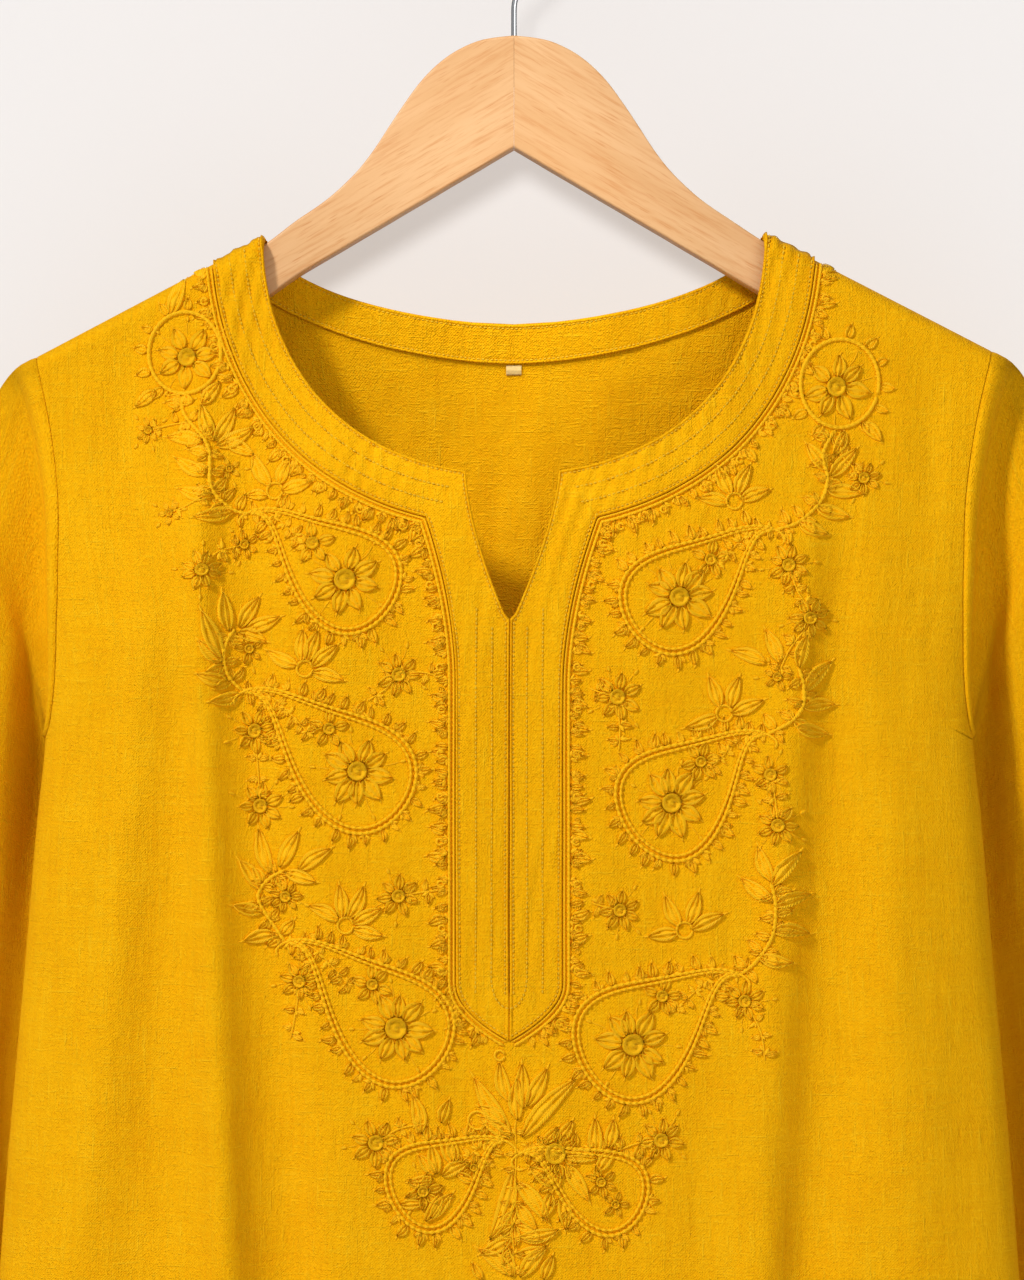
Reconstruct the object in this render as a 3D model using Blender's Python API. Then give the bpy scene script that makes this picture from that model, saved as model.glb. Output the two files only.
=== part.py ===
"""Kurta tunic on a wooden hanger.

The front faces -Y, +X is the right-hand side seen from the front, +Z is up, and the origin is the
inner top of the hook. Every size below is in millimetres and becomes metres in the meshes.

The cloth is a tube that hangs flat from the hanger's arms. At each height its section is a
superellipse with fold edges at the two sides; above, the front and the back close over the arms.
A panel is an outline drawn on that tube, triangulated, and given its thickness inwards. Whatever is
sewn on a panel takes the panel's own triangles, moved out or in.
"""

from collections import namedtuple

import bmesh
import bpy
import numpy as np
from mathutils import Vector
from mathutils.geometry import delaunay_2d_cdt

MM = 0.001
FRONT, BACK = -1, 1

# ---- cloth -----------------------------------------------------------------------------------
CLOTH = 1.2             # thickness of a panel
FACING = 1.0            # thickness of a strip sewn on a panel
SEAM_GAP = 0.3          # clearance between pieces that are sewn together
ARMHOLE_GAP = 0.4       # the same along the armhole's curve, where facets come closer

# ---- neck and shoulders ----------------------------------------------------------------------
NECK_Z = -156.9         # height of the shoulder seam where it meets the neck edge
NECK_HALF = 108.4       # half width of the neck opening there
SHOULDER_HALF = 207.0   # centre line to the top of the armhole seam
SHOULDER_SLOPE = 0.525  # fall of the shoulder line for each unit of width
APEX_SOFTNESS = 20.0    # rounding of the shoulder line where it would cross the centre line
SHOULDER_ROUND = 7.0    # height over which the cloth rolls over a hanger arm
ARM_CLEARANCE = 11.2    # outer face of the cloth from the arm's middle plane
FALL_REACH = 160.0      # drop below the shoulder line over which the section fills out

FRONT_NECK_DEPTH = 101.9
FRONT_NECK_POWER = 2.15
BACK_NECK_DEPTH = 36.0
BACK_NECK_POWER = 1.8
FRONT_BAND_WIDTH = 22.3
BACK_BAND_WIDTH = 17.0
BAND_SHOULDER_HALF = 130.5  # outer edge of both neck bands on the shoulder seam

# ---- neck notch, slit and placket (depths are measured down from the neck point) -------------
NOTCH_HALF = 19.8
NOTCH_BOTTOM = 163.0
NOTCH_BOTTOM_HALF = 1.6
NOTCH_CURVE = 1.5
SLIT_HALF = 0.5
SLIT_BOTTOM = 324.0
CORNER_HALF = 36.5      # where the neck band turns into the placket
PLACKET_HALF = 22.7
PLACKET_FLARE_END = 190.0
PLACKET_FLARE_CURVE = 1.8
PLACKET_SIDE_END = 319.0
PLACKET_TIP = 343.0
PLACKET_TIP_CURVE = 1.9

# ---- body ------------------------------------------------------------------------------------
LENGTH = 880.0
UNDERARM = 216.0
SLIT_TOP = 660.0        # top of the side slits
SLIT_SPREAD = 0.02      # share of the half width by which the slit's edges part at the hem
ROLL = 2.8              # superellipse power of the body's section
LEAN = -2.1             # how far the body hangs to one side of the hanger's centre
LEAN_START, LEAN_END = 40.0, 200.0

BodySection = namedtuple("BodySection", "drop half_width front_depth back_depth")
BODY = (
    BodySection(0.0, 226.0, 30.0, 29.0),
    BodySection(50.0, 222.0, 32.0, 30.0),
    BodySection(84.0, 215.5, 34.0, 31.0),
    BodySection(126.0, 207.5, 36.0, 33.0),
    BodySection(160.0, 202.2, 38.0, 34.0),
    BodySection(190.0, 200.3, 39.0, 35.0),
    BodySection(216.0, 200.8, 40.0, 36.0),
    BodySection(250.0, 204.3, 41.0, 37.0),
    BodySection(310.0, 209.3, 42.0, 38.0),
    BodySection(394.0, 216.7, 44.0, 40.0),
    BodySection(450.0, 220.8, 46.0, 41.0),
    BodySection(660.0, 238.0, 50.0, 45.0),
    BodySection(880.0, 255.5, 52.0, 48.0),
)

ArmholePoint = namedtuple("ArmholePoint", "drop share")
ARMHOLE = (               # share is the part of the section's half width
    ArmholePoint(52.0, 0.9330),
    ArmholePoint(53.0, 0.9326),
    ArmholePoint(56.0, 0.9315),
    ArmholePoint(61.0, 0.9298),
    ArmholePoint(72.0, 0.9272),
    ArmholePoint(92.0, 0.9262),
    ArmholePoint(116.0, 0.9330),
    ArmholePoint(142.0, 0.9510),
    ArmholePoint(166.0, 0.9660),
    ArmholePoint(187.0, 0.9740),
    ArmholePoint(202.0, 0.9815),
    ArmholePoint(211.5, 0.9900),
    ArmholePoint(216.0, 1.0000),
)

# A fold's rise is positive for a ridge and negative for a trough; it runs between two heights.
Fold = namedtuple("Fold", "side x_top x_bottom drop_top drop_bottom rise_top rise_bottom width")
FOLDS = (
    Fold(FRONT, -124.0, -104.0, 60.0, 880.0, -1.0, -10.0, 15.0),
    Fold(FRONT, -136.0, -132.0, 60.0, 880.0, 1.0, 6.0, 12.0),
    Fold(FRONT, -158.0, -186.0, 140.0, 880.0, -1.0, -8.0, 15.0),
    Fold(FRONT, 126.0, 150.0, 60.0, 880.0, -1.0, -11.0, 17.0),
    Fold(FRONT, 168.0, 196.0, 200.0, 880.0, 0.5, 6.0, 16.0),
    Fold(FRONT, -20.0, -34.0, 430.0, 880.0, 0.5, 8.0, 26.0),
    Fold(FRONT, 48.0, 62.0, 430.0, 880.0, -0.5, -7.0, 20.0),
    Fold(BACK, -118.0, -140.0, 60.0, 880.0, -1.0, -10.0, 17.0),
    Fold(BACK, -62.0, -84.0, 150.0, 880.0, 0.5, 7.0, 20.0),
    Fold(BACK, 8.0, -6.0, 60.0, 880.0, -1.0, -10.0, 20.0),
    Fold(BACK, 72.0, 82.0, 180.0, 880.0, 0.5, 7.0, 20.0),
    Fold(BACK, 130.0, 148.0, 70.0, 880.0, -1.0, -9.0, 16.0),
)
FOLD_FADE = 90.0        # height over which a fold comes in at its top

# ---- sleeves ---------------------------------------------------------------------------------
# The first rings roll out of the armhole: the sleeve's cloth comes out over the edge of the
# hanger's arm, then turns back behind the body. Each later ring spans an outer and an inner point.
# The front of a roll ring is drawn in and its back let out; a later ring has three soft flutes.
RollRing = namedtuple("RollRing", "out_top out_middle out_bottom lift_top lift_bottom "
                                  "front_share back_share shift")
ROLL_RINGS = (
    RollRing(4.0, 3.4, 2.0, -0.4, 2.4, 1.00, 1.05, 0.0),
    RollRing(8.5, 6.4, 3.6, -2.2, 3.6, 0.72, 1.20, 1.2),
    RollRing(12.5, 7.4, 4.6, -5.4, 3.0, 0.30, 1.45, 4.5),
)
SleeveRing = namedtuple("SleeveRing", "outer_x outer_drop inner_x inner_drop centre_y half_depth "
                                      "flute")
SLEEVE = (
    SleeveRing(230.0, 71.0, 205.4, 215.0, 14.0, 17.0, 0.0),
    SleeveRing(244.0, 88.0, 204.4, 221.0, 20.0, 25.0, 0.01),
    SleeveRing(263.0, 118.0, 203.2, 234.0, 27.0, 32.0, 0.02),
    SleeveRing(281.0, 165.0, 202.2, 256.0, 34.0, 36.0, 0.03),
    SleeveRing(294.0, 226.0, 202.0, 290.0, 41.0, 37.0, 0.05),
    SleeveRing(302.0, 296.0, 204.0, 334.0, 45.0, 37.0, 0.07),
    SleeveRing(308.0, 372.0, 208.5, 390.0, 47.0, 37.0, 0.09),
    SleeveRing(313.0, 444.0, 214.0, 450.0, 48.0, 36.0, 0.10),
    SleeveRing(318.0, 512.0, 219.0, 512.0, 49.0, 35.0, 0.11),
)
FLUTES = 3
FLUTE_START = 0.9       # angle of the first flute's crest from the outer edge, in radians

# ---- label -----------------------------------------------------------------------------------
LABEL_WIDTH = 7.0
LABEL_HEIGHT = 4.2
LABEL_THICKNESS = 0.8
LABEL_DROP = 0.5        # from the facing's lower edge down to the label

# ---- hanger ----------------------------------------------------------------------------------
HUMP_TOP_Z = -70.0
ARM_THICKNESS = 13.0
ARM_EDGE_ROUND = 4.5
ARM_CLOTH_GAP = 3.7     # top of the arm below the shoulder line, with the cloth between
ArmPoint = namedtuple("ArmPoint", "x top bottom")
ARM = (                 # half outline from the mitre outwards, measured down from the hump's top
    ArmPoint(0.0, 0.0, 48.2),
    ArmPoint(20.0, 2.8, 59.8),
    ArmPoint(33.0, 10.8, 67.2),
    ArmPoint(44.0, 25.0, 73.6),
    ArmPoint(56.0, 43.5, 80.5),
    ArmPoint(63.5, 55.5, 84.8),
    ArmPoint(75.0, 66.5, 91.2),
    ArmPoint(90.0, 77.5, 99.2),
)
ARM_STATIONS = (NECK_HALF, 128.0, 150.0, 170.0, 186.0)  # these lie under the shoulder line
ARM_TIP = 200.0
ARM_TIP_DEPTH = 17.0

WIRE_DIAMETER = 2.4
HOOK_INNER_RADIUS = 20.0
HOOK_START_ANGLE = -50.0
HOOK_END_ANGLE = 205.0
STEM_BEND_Z = -56.0
STEM_SUNK = 18.0
STEM_HOLE_GAP = 0.35
STEM_BEND_HANDLE = 10.0  # length of the bend's handles, from the stem and from the arc

# ---- mesh spacing ----------------------------------------------------------------------------
COLUMNS = (0.0, 26.0, 50.0, 74.0, 94.0, 110.0, 122.0, 134.0, 147.0, 161.0, 175.0)
HEM_CORNER_COLUMN = 186.0  # where a column would meet the hem's corner
SHOULDER_COLUMNS = (190.0, 201.0)
EDGE_SHARES = (0.925, 0.962, 0.985, 0.9975)
ROWS = (22.0, 44.0, 66.0, 90.0, 114.0, 138.0, 164.0, 192.0, 222.0, 254.0, 290.0, 328.0, 370.0,
        416.0, 470.0, 530.0, 590.0, 650.0, 710.0, 770.0, 826.0)
SHOULDER_ROWS = (0.8, 3.2, 7.0)
CLEAR_OF_EDGE = 7.0     # least distance of an inner point from a drawn line
CLEAR_OF_SHOULDER = 3.0  # the same for the rows along the shoulder
CLOTH_SHARP = 0.9       # faces that meet at a larger angle keep a sharp edge, in radians
WOOD_SHARP = 0.6


# ---- colours ---------------------------------------------------------------------------------
Finish = namedtuple("Finish", "colour roughness metallic")
MUSTARD = Finish((0.83, 0.41, 0.012), 0.9, 0.0)
CREAM = Finish((0.85, 0.76, 0.52), 0.8, 0.0)
BEECH = Finish((0.72, 0.49, 0.29), 0.5, 0.0)
STEEL = Finish((0.72, 0.73, 0.74), 0.22, 1.0)


def material(name, finish):
    """A Principled material with one plain finish."""
    made = bpy.data.materials.get(name) or bpy.data.materials.new(name)
    made.use_nodes = True
    shader = made.node_tree.nodes["Principled BSDF"]
    shader.inputs["Base Color"].default_value = (*finish.colour, 1.0)
    shader.inputs["Roughness"].default_value = finish.roughness
    shader.inputs["Metallic"].default_value = finish.metallic
    return made


def shaded_object(name, mesh, sharp, finish):
    """An object for a mesh, shaded smooth but for its sharp edges."""
    mesh.shade_smooth()
    mesh.set_sharp_from_angle(angle=sharp)
    made = bpy.data.objects.new(name, mesh)
    made.data.materials.append(material(name + "_finish", finish))
    bpy.context.collection.objects.link(made)
    return made


def mesh_object(name, points, faces, finish):
    """An object from points in millimetres, with its faces turned outwards."""
    mesh = bpy.data.meshes.new(name)
    mesh.from_pydata([tuple(MM * float(c) for c in p) for p in points], [], faces)
    shape = bmesh.new()
    shape.from_mesh(mesh)
    bmesh.ops.recalc_face_normals(shape, faces=shape.faces)
    shape.to_mesh(mesh)
    shape.free()
    return shaded_object(name, mesh, CLOTH_SHARP, finish)


# ---- curves in the garment's own terms -------------------------------------------------------
def through(rows, column):
    """A smooth function of the drop that passes through one column of a table."""
    drops = np.array([row.drop for row in rows])
    values = np.array([getattr(row, column) for row in rows])
    slopes = np.gradient(values, drops)

    def value(drop):
        drop = np.clip(drop, drops[0], drops[-1])
        i = np.clip(np.searchsorted(drops, drop, side="right") - 1, 0, len(drops) - 2)
        step = drops[i + 1] - drops[i]
        t = (drop - drops[i]) / step
        near = (1 + 2 * t) * (1 - t) ** 2 * values[i] + t * (1 - t) ** 2 * step * slopes[i]
        far = t * t * (3 - 2 * t) * values[i + 1] + t * t * (t - 1) * step * slopes[i + 1]
        return near + far

    return value


half_width = through(BODY, "half_width")
section_depth = {FRONT: through(BODY, "front_depth"), BACK: through(BODY, "back_depth")}
armhole_share = through(ARMHOLE, "share")


def smooth_step(t):
    """Rise from 0 to 1 with level ends."""
    t = np.clip(t, 0.0, 1.0)
    return t * t * (3 - 2 * t)


def soft_abs(x):
    """Distance from the centre line, rounded at the centre line itself."""
    return np.sqrt(x * x + APEX_SOFTNESS ** 2)


def shoulder_z(x):
    """Height of the shoulder line, carried on across the neck opening."""
    return NECK_Z - SHOULDER_SLOPE * (soft_abs(x) - soft_abs(NECK_HALF))


def lean(z):
    """Sideways shift of the body at a height."""
    return LEAN * smooth_step((NECK_Z - z - LEAN_START) / (LEAN_END - LEAN_START))


def section_turn(x, z):
    """Depth of the body's section at x as a share of its full depth."""
    share = np.clip(np.abs(x) / half_width(NECK_Z - z), 0.0, 1.0)
    return (1 - share ** ROLL) ** (1 / ROLL)


def fold_rise(x, z, side):
    """Sum of the folds of one side: each is a bell across its line, growing towards the hem."""
    drop = NECK_Z - z
    rise = np.zeros_like(x)
    for fold in FOLDS:
        if fold.side != side:
            continue
        along = np.clip((drop - fold.drop_top) / (fold.drop_bottom - fold.drop_top), 0.0, 1.0)
        line = fold.x_top + (fold.x_bottom - fold.x_top) * along
        height = fold.rise_top + (fold.rise_bottom - fold.rise_top) * along
        fade = smooth_step((drop - fold.drop_top) / FOLD_FADE)
        rise += fade * height * np.exp(-((x - line) / fold.width) ** 2)
    return rise * section_turn(x, z)


def cloth_points(x, z, side):
    """Outer face of the cloth: over the hanger's arm at the top, then out to the section."""
    x, z = np.asarray(x, float), np.asarray(z, float)
    below = np.maximum(shoulder_z(x) - z, 0.0)
    over = np.sqrt(1 - (1 - np.minimum(below / SHOULDER_ROUND, 1.0)) ** 2) * ARM_CLEARANCE
    section = section_depth[side](NECK_Z - z) * section_turn(x, z)
    y = over + (section - ARM_CLEARANCE) * smooth_step(below / FALL_REACH)
    y = side * (y + fold_rise(x, z, side) + SEAM_GAP / 2)
    return np.column_stack((x + lean(z), y, z))


def flat_place(x, z):
    """Flat coordinates for triangulating: girth from the centre, length down from the shoulder."""
    around = np.abs(x) + section_depth[FRONT](NECK_Z - z) * (1 - section_turn(x, z))
    below = np.maximum(shoulder_z(x) - z, 0.0)
    angle = np.arccos(1 - np.minimum(below / SHOULDER_ROUND, 1.0))
    length = angle * (SHOULDER_ROUND + ARM_CLEARANCE) / 2 + np.maximum(below - SHOULDER_ROUND, 0.0)
    return np.column_stack((np.sign(x) * around, -length))


def neck_arc(half, depth, power, steps, end_x=0.0):
    """Superellipse from the shoulder line down to the centre line, or to a given x, on +X."""
    end = np.arccos((end_x / half) ** (power / 2))
    below = np.array((0.0,) + SHOULDER_ROWS)
    drops = max(NECK_Z - float(shoulder_z(half)), 0.0) + below
    start = np.arcsin((drops / depth) ** (power / 2))
    angle = np.concatenate((start, np.linspace(start[-1], end, steps)[1:]))
    x = half * np.cos(angle) ** (2 / power)
    z = NECK_Z - depth * np.sin(angle) ** (2 / power)
    z[:len(below)] = shoulder_z(x[:len(below)]) - below
    return np.column_stack((x, z))


def mirrored(line):
    """The same line on -X, run the other way."""
    return (line * (-1, 1))[::-1]


def shoulder_line(x_from, x_to, steps):
    x = np.linspace(x_from, x_to, steps)
    return np.column_stack((x, shoulder_z(x)))


def armhole_line():
    """Armhole edge on +X from the shoulder point down to the underarm."""
    drops = np.array([row.drop for row in ARMHOLE])
    x = armhole_share(drops) * half_width(drops)
    z = NECK_Z - drops
    x[0], z[0] = SHOULDER_HALF, shoulder_z(SHOULDER_HALF)
    return np.column_stack((x, z))


def side_line():
    """Side edge on +X from the underarm to the hem; the edges of the slit draw back."""
    drops = np.array([UNDERARM] + [row for row in ROWS if row > UNDERARM] + [LENGTH])
    open_part = np.clip((drops - SLIT_TOP) / (LENGTH - SLIT_TOP), 0.0, 1.0)
    return np.column_stack((half_width(drops) * (1 - SLIT_SPREAD * open_part), NECK_Z - drops))


def hem_line():
    """Hem from +X to -X between the side edges."""
    edge = half_width(LENGTH) * (1 - SLIT_SPREAD)
    inner = [c * edge / HEM_CORNER_COLUMN for c in COLUMNS[1:]]
    x = np.array([edge] + inner[::-1] + [0.0] + [-c for c in inner] + [-edge])
    return np.column_stack((x, np.full_like(x, NECK_Z - LENGTH)))


def notch_line():
    """Edge of the neck notch on +X from its tip down to its bottom, then down one side of the slit."""
    tip_z = neck_arc(NECK_HALF, FRONT_NECK_DEPTH, FRONT_NECK_POWER, 9, NOTCH_HALF)[-1, 1]
    t = np.linspace(0.0, 1.0, 6)[1:]
    x = NOTCH_BOTTOM_HALF + (NOTCH_HALF - NOTCH_BOTTOM_HALF) * (1 - t ** NOTCH_CURVE)
    z = tip_z + (NECK_Z - NOTCH_BOTTOM - tip_z) * t
    slit_z = NECK_Z - np.linspace(NOTCH_BOTTOM + 1.0, SLIT_BOTTOM, 8)
    slit = np.column_stack((np.full_like(slit_z, SLIT_HALF), slit_z))
    return np.vstack((np.column_stack((x, z)), slit))


def band_outer_line():
    """Outer edge of the neck band and the placket on +X, from the shoulder to the placket's tip."""
    depth = FRONT_NECK_DEPTH + FRONT_BAND_WIDTH
    arc = neck_arc(BAND_SHOULDER_HALF, depth, FRONT_NECK_POWER, 9, CORNER_HALF)
    corner_drop = NECK_Z - arc[-1, 1]
    t = np.array([0.2, 0.45, 0.72, 1.0])
    flare_x = PLACKET_HALF + (CORNER_HALF - PLACKET_HALF) * (1 - t) ** PLACKET_FLARE_CURVE
    flare = np.column_stack((flare_x, NECK_Z - corner_drop - (PLACKET_FLARE_END - corner_drop) * t))
    side_drops = np.linspace(PLACKET_FLARE_END, PLACKET_SIDE_END, 6)[1:]
    side = np.column_stack((np.full_like(side_drops, PLACKET_HALF), NECK_Z - side_drops))
    t = np.linspace(0.0, 1.0, 6)[1:]
    point_x = PLACKET_HALF * (1 - t ** PLACKET_TIP_CURVE)
    point = np.column_stack((point_x, NECK_Z - PLACKET_SIDE_END - (PLACKET_TIP - PLACKET_SIDE_END) * t))
    return np.vstack((arc, flare, side, point))


# ---- panels ----------------------------------------------------------------------------------
Panel = namedtuple("Panel", "places points normals triangles")


def distance_to_line(point, line):
    """Least distance from a point to a polyline, in flat coordinates."""
    start, step = line[:-1], np.diff(line, axis=0)
    t = np.clip(((point - start) * step).sum(1) / np.maximum((step ** 2).sum(1), 1e-9), 0, 1)
    return np.sqrt(((start + step * t[:, None] - point) ** 2).sum(1)).min()


def inside(point, polygon):
    """Even-odd test of a point against a closed polygon."""
    a, b = polygon, np.roll(polygon, -1, axis=0)
    crosses = (a[:, 1] > point[1]) != (b[:, 1] > point[1])
    run = np.where(crosses, b[:, 1] - a[:, 1], 1.0)
    x = a[:, 0] + (point[1] - a[:, 1]) / run * (b[:, 0] - a[:, 0])
    return (crosses & (point[0] < x)).sum() % 2 == 1


def grid_places():
    """Inner points of a panel, each with its least distance from a drawn line.

    They are columns by rows, the fold edges, and a few rows along the shoulder.
    """
    columns = sorted({sign * c for c in COLUMNS + SHOULDER_COLUMNS for sign in (-1, 1)})
    inner = [c for c in columns if abs(c) <= COLUMNS[-1]]
    places = [(x, NECK_Z - drop, CLEAR_OF_EDGE) for drop in ROWS for x in inner]
    places += [(sign * share * half_width(drop), NECK_Z - drop, CLEAR_OF_EDGE)
               for drop in ROWS for share in EDGE_SHARES for sign in (-1, 1)]
    places += [(x, shoulder_z(x) - below, CLEAR_OF_SHOULDER)
               for below in SHOULDER_ROWS for x in columns if abs(x) > NECK_HALF - below]
    return np.array([[float(value) for value in place] for place in places])


def make_panel(outline, extra_lines, side):
    """Triangulate an outline with the lines drawn on it, and set it on the cloth's surface."""
    places, edges = [tuple(p) for p in outline], []
    count = len(places)
    edges += [(i, (i + 1) % count) for i in range(count)]
    flat_lines = [flat_place(*np.vstack((outline, outline[:1])).T)]
    for line in extra_lines:
        first = len(places)
        places += [tuple(p) for p in line]
        edges += [(first + i, first + i + 1) for i in range(len(line) - 1)]
        flat_lines.append(flat_place(*line.T))
    flat_outline = flat_place(*outline.T)
    for x, z, clear in grid_places():
        spot = flat_place(np.array([x]), np.array([z]))[0]
        if not inside(spot, flat_outline):
            continue
        if min(distance_to_line(spot, line) for line in flat_lines) > clear:
            places.append((x, z))
    places = np.array(places, float)
    flat = flat_place(*places.T)
    result = delaunay_2d_cdt([Vector(p) for p in flat], edges, [], 1, 1e-4)
    origins = [group[0] for group in result[3]]
    places = places[origins]
    triangles = [tuple(face) for face in result[2]]
    points = cloth_points(*places.T, side)
    corner = points[np.array(triangles)]
    face_normals = np.cross(corner[:, 1] - corner[:, 0], corner[:, 2] - corner[:, 0])
    normals = np.zeros_like(points)
    for k in range(3):
        np.add.at(normals, np.array(triangles)[:, k], face_normals)
    if normals[:, 1].sum() * side < 0:
        normals = -normals
    normals[np.abs(points[:, 1]) < SEAM_GAP, 1] = 0.0
    normals /= np.linalg.norm(normals, axis=1)[:, None]
    return Panel(places, points, normals, triangles)


def wall(name, outer, inner, faces, finish):
    """Closed wall between two skins with the same faces, with a rim round every free edge."""
    count = len(outer)
    skin = list(faces) + [tuple(i + count for i in reversed(face)) for face in faces]
    sides = {}
    for face in faces:
        for a, b in zip(face, face[1:] + face[:1]):
            sides[(a, b)] = True
    rim = [(b, a, a + count, b + count) for a, b in sides if (b, a) not in sides]
    used = sorted({i for face in skin for i in face})
    index = {old: new for new, old in enumerate(used)}
    points = np.vstack((outer, inner))[used]
    faces = [tuple(index[i] for i in face) for face in skin + rim]
    return mesh_object(name, points, faces, finish)


def panel_wall(name, panel, out_face, in_face, finish, region=None):
    """Wall on a panel's triangles, or on those inside a region, between two offsets from its face."""
    faces = panel.triangles
    if region is not None:
        middle = [panel.places[list(face)].mean(0) for face in faces]
        faces = [face for face, place in zip(faces, middle) if inside(place, region)]
    outer = panel.points + panel.normals * out_face
    inner = panel.points + panel.normals * in_face
    return wall(name, outer, inner, faces, finish)


def front_outline():
    neck = neck_arc(NECK_HALF, FRONT_NECK_DEPTH, FRONT_NECK_POWER, 9, NOTCH_HALF)
    shoulder = shoulder_line(SHOULDER_HALF, BAND_SHOULDER_HALF, 5)[1:]
    shoulder = np.vstack((shoulder, shoulder_line(BAND_SHOULDER_HALF, NECK_HALF, 3)[1:-1]))
    right = np.vstack((side_line()[::-1][:-1], armhole_line()[::-1], shoulder, neck, notch_line()))
    left = mirrored(right)
    return np.vstack((right, left, hem_line()[::-1][1:-1]))


def back_outline():
    neck = neck_arc(NECK_HALF, BACK_NECK_DEPTH, BACK_NECK_POWER, 8)
    shoulder = shoulder_line(SHOULDER_HALF, BAND_SHOULDER_HALF, 5)[1:]
    shoulder = np.vstack((shoulder, shoulder_line(BAND_SHOULDER_HALF, NECK_HALF, 3)[1:-1]))
    right = np.vstack((side_line()[::-1][:-1], armhole_line()[::-1], shoulder, neck))
    left = mirrored(right)[1:]
    return np.vstack((right, left, hem_line()[::-1][1:-1]))


def front_and_facing():
    """Front panel, and the neck band with its placket, cut in one and sewn on its outside."""
    outer = band_outer_line()
    line = np.vstack((outer, mirrored(outer)[1:]))
    panel = make_panel(front_outline(), [line], FRONT)
    panel_wall("front", panel, 0.0, -CLOTH, MUSTARD)
    neck = neck_arc(NECK_HALF, FRONT_NECK_DEPTH, FRONT_NECK_POWER, 9, NOTCH_HALF)
    inner = np.vstack((neck, notch_line()))
    region = np.vstack((inner, mirrored(inner), line[::-1]))
    panel_wall("neck_band_and_placket", panel, SEAM_GAP + FACING, SEAM_GAP, MUSTARD, region)
    return panel


def back_and_facing():
    """Back panel, and the strip that faces its neck edge on the inside."""
    depth = BACK_NECK_DEPTH + BACK_BAND_WIDTH
    outer = neck_arc(BAND_SHOULDER_HALF, depth, BACK_NECK_POWER, 9)
    line = np.vstack((outer, mirrored(outer)[1:]))
    label_top = outer[-1, 1] - LABEL_DROP
    half = LABEL_WIDTH / 2
    label = np.array(((-half, label_top), (half, label_top),
                      (half, label_top - LABEL_HEIGHT), (-half, label_top - LABEL_HEIGHT)))
    panel = make_panel(back_outline(), [line, np.vstack((label, label[:1]))], BACK)
    panel_wall("back", panel, 0.0, -CLOTH, MUSTARD)
    neck = neck_arc(NECK_HALF, BACK_NECK_DEPTH, BACK_NECK_POWER, 8)
    region = np.vstack((neck, mirrored(neck)[1:], line[::-1]))
    near, far = -CLOTH - SEAM_GAP, -CLOTH - SEAM_GAP - FACING
    panel_wall("back_neck_facing", panel, near, far, MUSTARD, region)
    panel_wall("label", panel, near, near - LABEL_THICKNESS, CREAM, label)
    return panel


# ---- sleeves ---------------------------------------------------------------------------------
def armhole_edge(panel, hand):
    """Outer points and normals of a panel's armhole edge, from the shoulder to the underarm."""
    edge = armhole_line() * (hand, 1)
    found = [int(np.abs(panel.places - place).sum(1).argmin()) for place in edge]
    return panel.points[found], panel.normals[found]


def sleeve_rings(front, back, hand):
    """Rings of the sleeve's outer face, from the armhole to the cuff, and the first ring's normals."""
    front_edge, front_normals = armhole_edge(front, hand)
    back_edge, back_normals = armhole_edge(back, hand)
    loop = np.vstack((front_edge, back_edge[::-1]))
    normals = np.vstack((front_normals, back_normals[::-1]))
    tangent = np.roll(loop, -1, axis=0) - np.roll(loop, 1, axis=0)
    away = np.cross(tangent, normals)
    away /= np.linalg.norm(away, axis=1)[:, None]
    if away[0, 0] * hand < 0:
        away = -away
    half = len(front_edge)
    down = np.concatenate((np.linspace(0, 1, half), np.linspace(1, 0, half)))
    rings = [loop + away * ARMHOLE_GAP]
    for row in ROLL_RINGS:
        out = np.interp(down, (0, 0.5, 1), (row.out_top, row.out_middle, row.out_bottom))
        lift = np.interp(down, (0, 1), (row.lift_top, row.lift_bottom))
        ring = loop + np.column_stack((hand * out, np.zeros_like(out), lift))
        ring[:, 1] *= np.where(ring[:, 1] < 0, row.front_share, row.back_share)
        ring[:, 1] += row.shift
        rings.append(ring)
    angle = (np.arange(2 * half) + 0.5) / half * np.pi
    for row in SLEEVE:
        outer = np.array((hand * row.outer_x, row.centre_y, NECK_Z - row.outer_drop))
        inner = np.array((hand * row.inner_x, row.centre_y, NECK_Z - row.inner_drop))
        reach = 1 + row.flute * np.cos(FLUTES * angle - FLUTE_START)
        ring = (outer + inner) / 2 + np.outer(reach * np.cos(angle), (outer - inner) / 2)
        ring[:, 1] -= row.half_depth * reach * np.sin(angle)
        ring[:, 0] += lean(ring[:, 2])
        rings.append(ring)
    return np.array(rings), normals


def make_sleeve(name, front, back, hand):
    """Tube through the rings, with its thickness inwards and both ends open."""
    rings, first_normals = sleeve_rings(front, back, hand)
    rows, around = rings.shape[:2]
    along_step = np.gradient(rings, axis=0)
    around_step = np.roll(rings, -1, axis=1) - np.roll(rings, 1, axis=1)
    normals = np.cross(around_step, along_step)
    normals /= np.linalg.norm(normals, axis=2)[:, :, None]
    centre = rings.mean(axis=1, keepdims=True)
    if ((rings - centre) * normals)[4:].sum() < 0:
        normals = -normals
    normals[0] = first_normals
    outer = rings.reshape(-1, 3)
    inner = (rings - normals * CLOTH).reshape(-1, 3)
    faces = []
    for r in range(rows - 1):
        for c in range(around):
            a, b = r * around + c, r * around + (c + 1) % around
            faces.append((a, b, b + around))
            faces.append((a, b + around, a + around))
    return wall(name, outer, inner, faces, MUSTARD)


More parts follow.
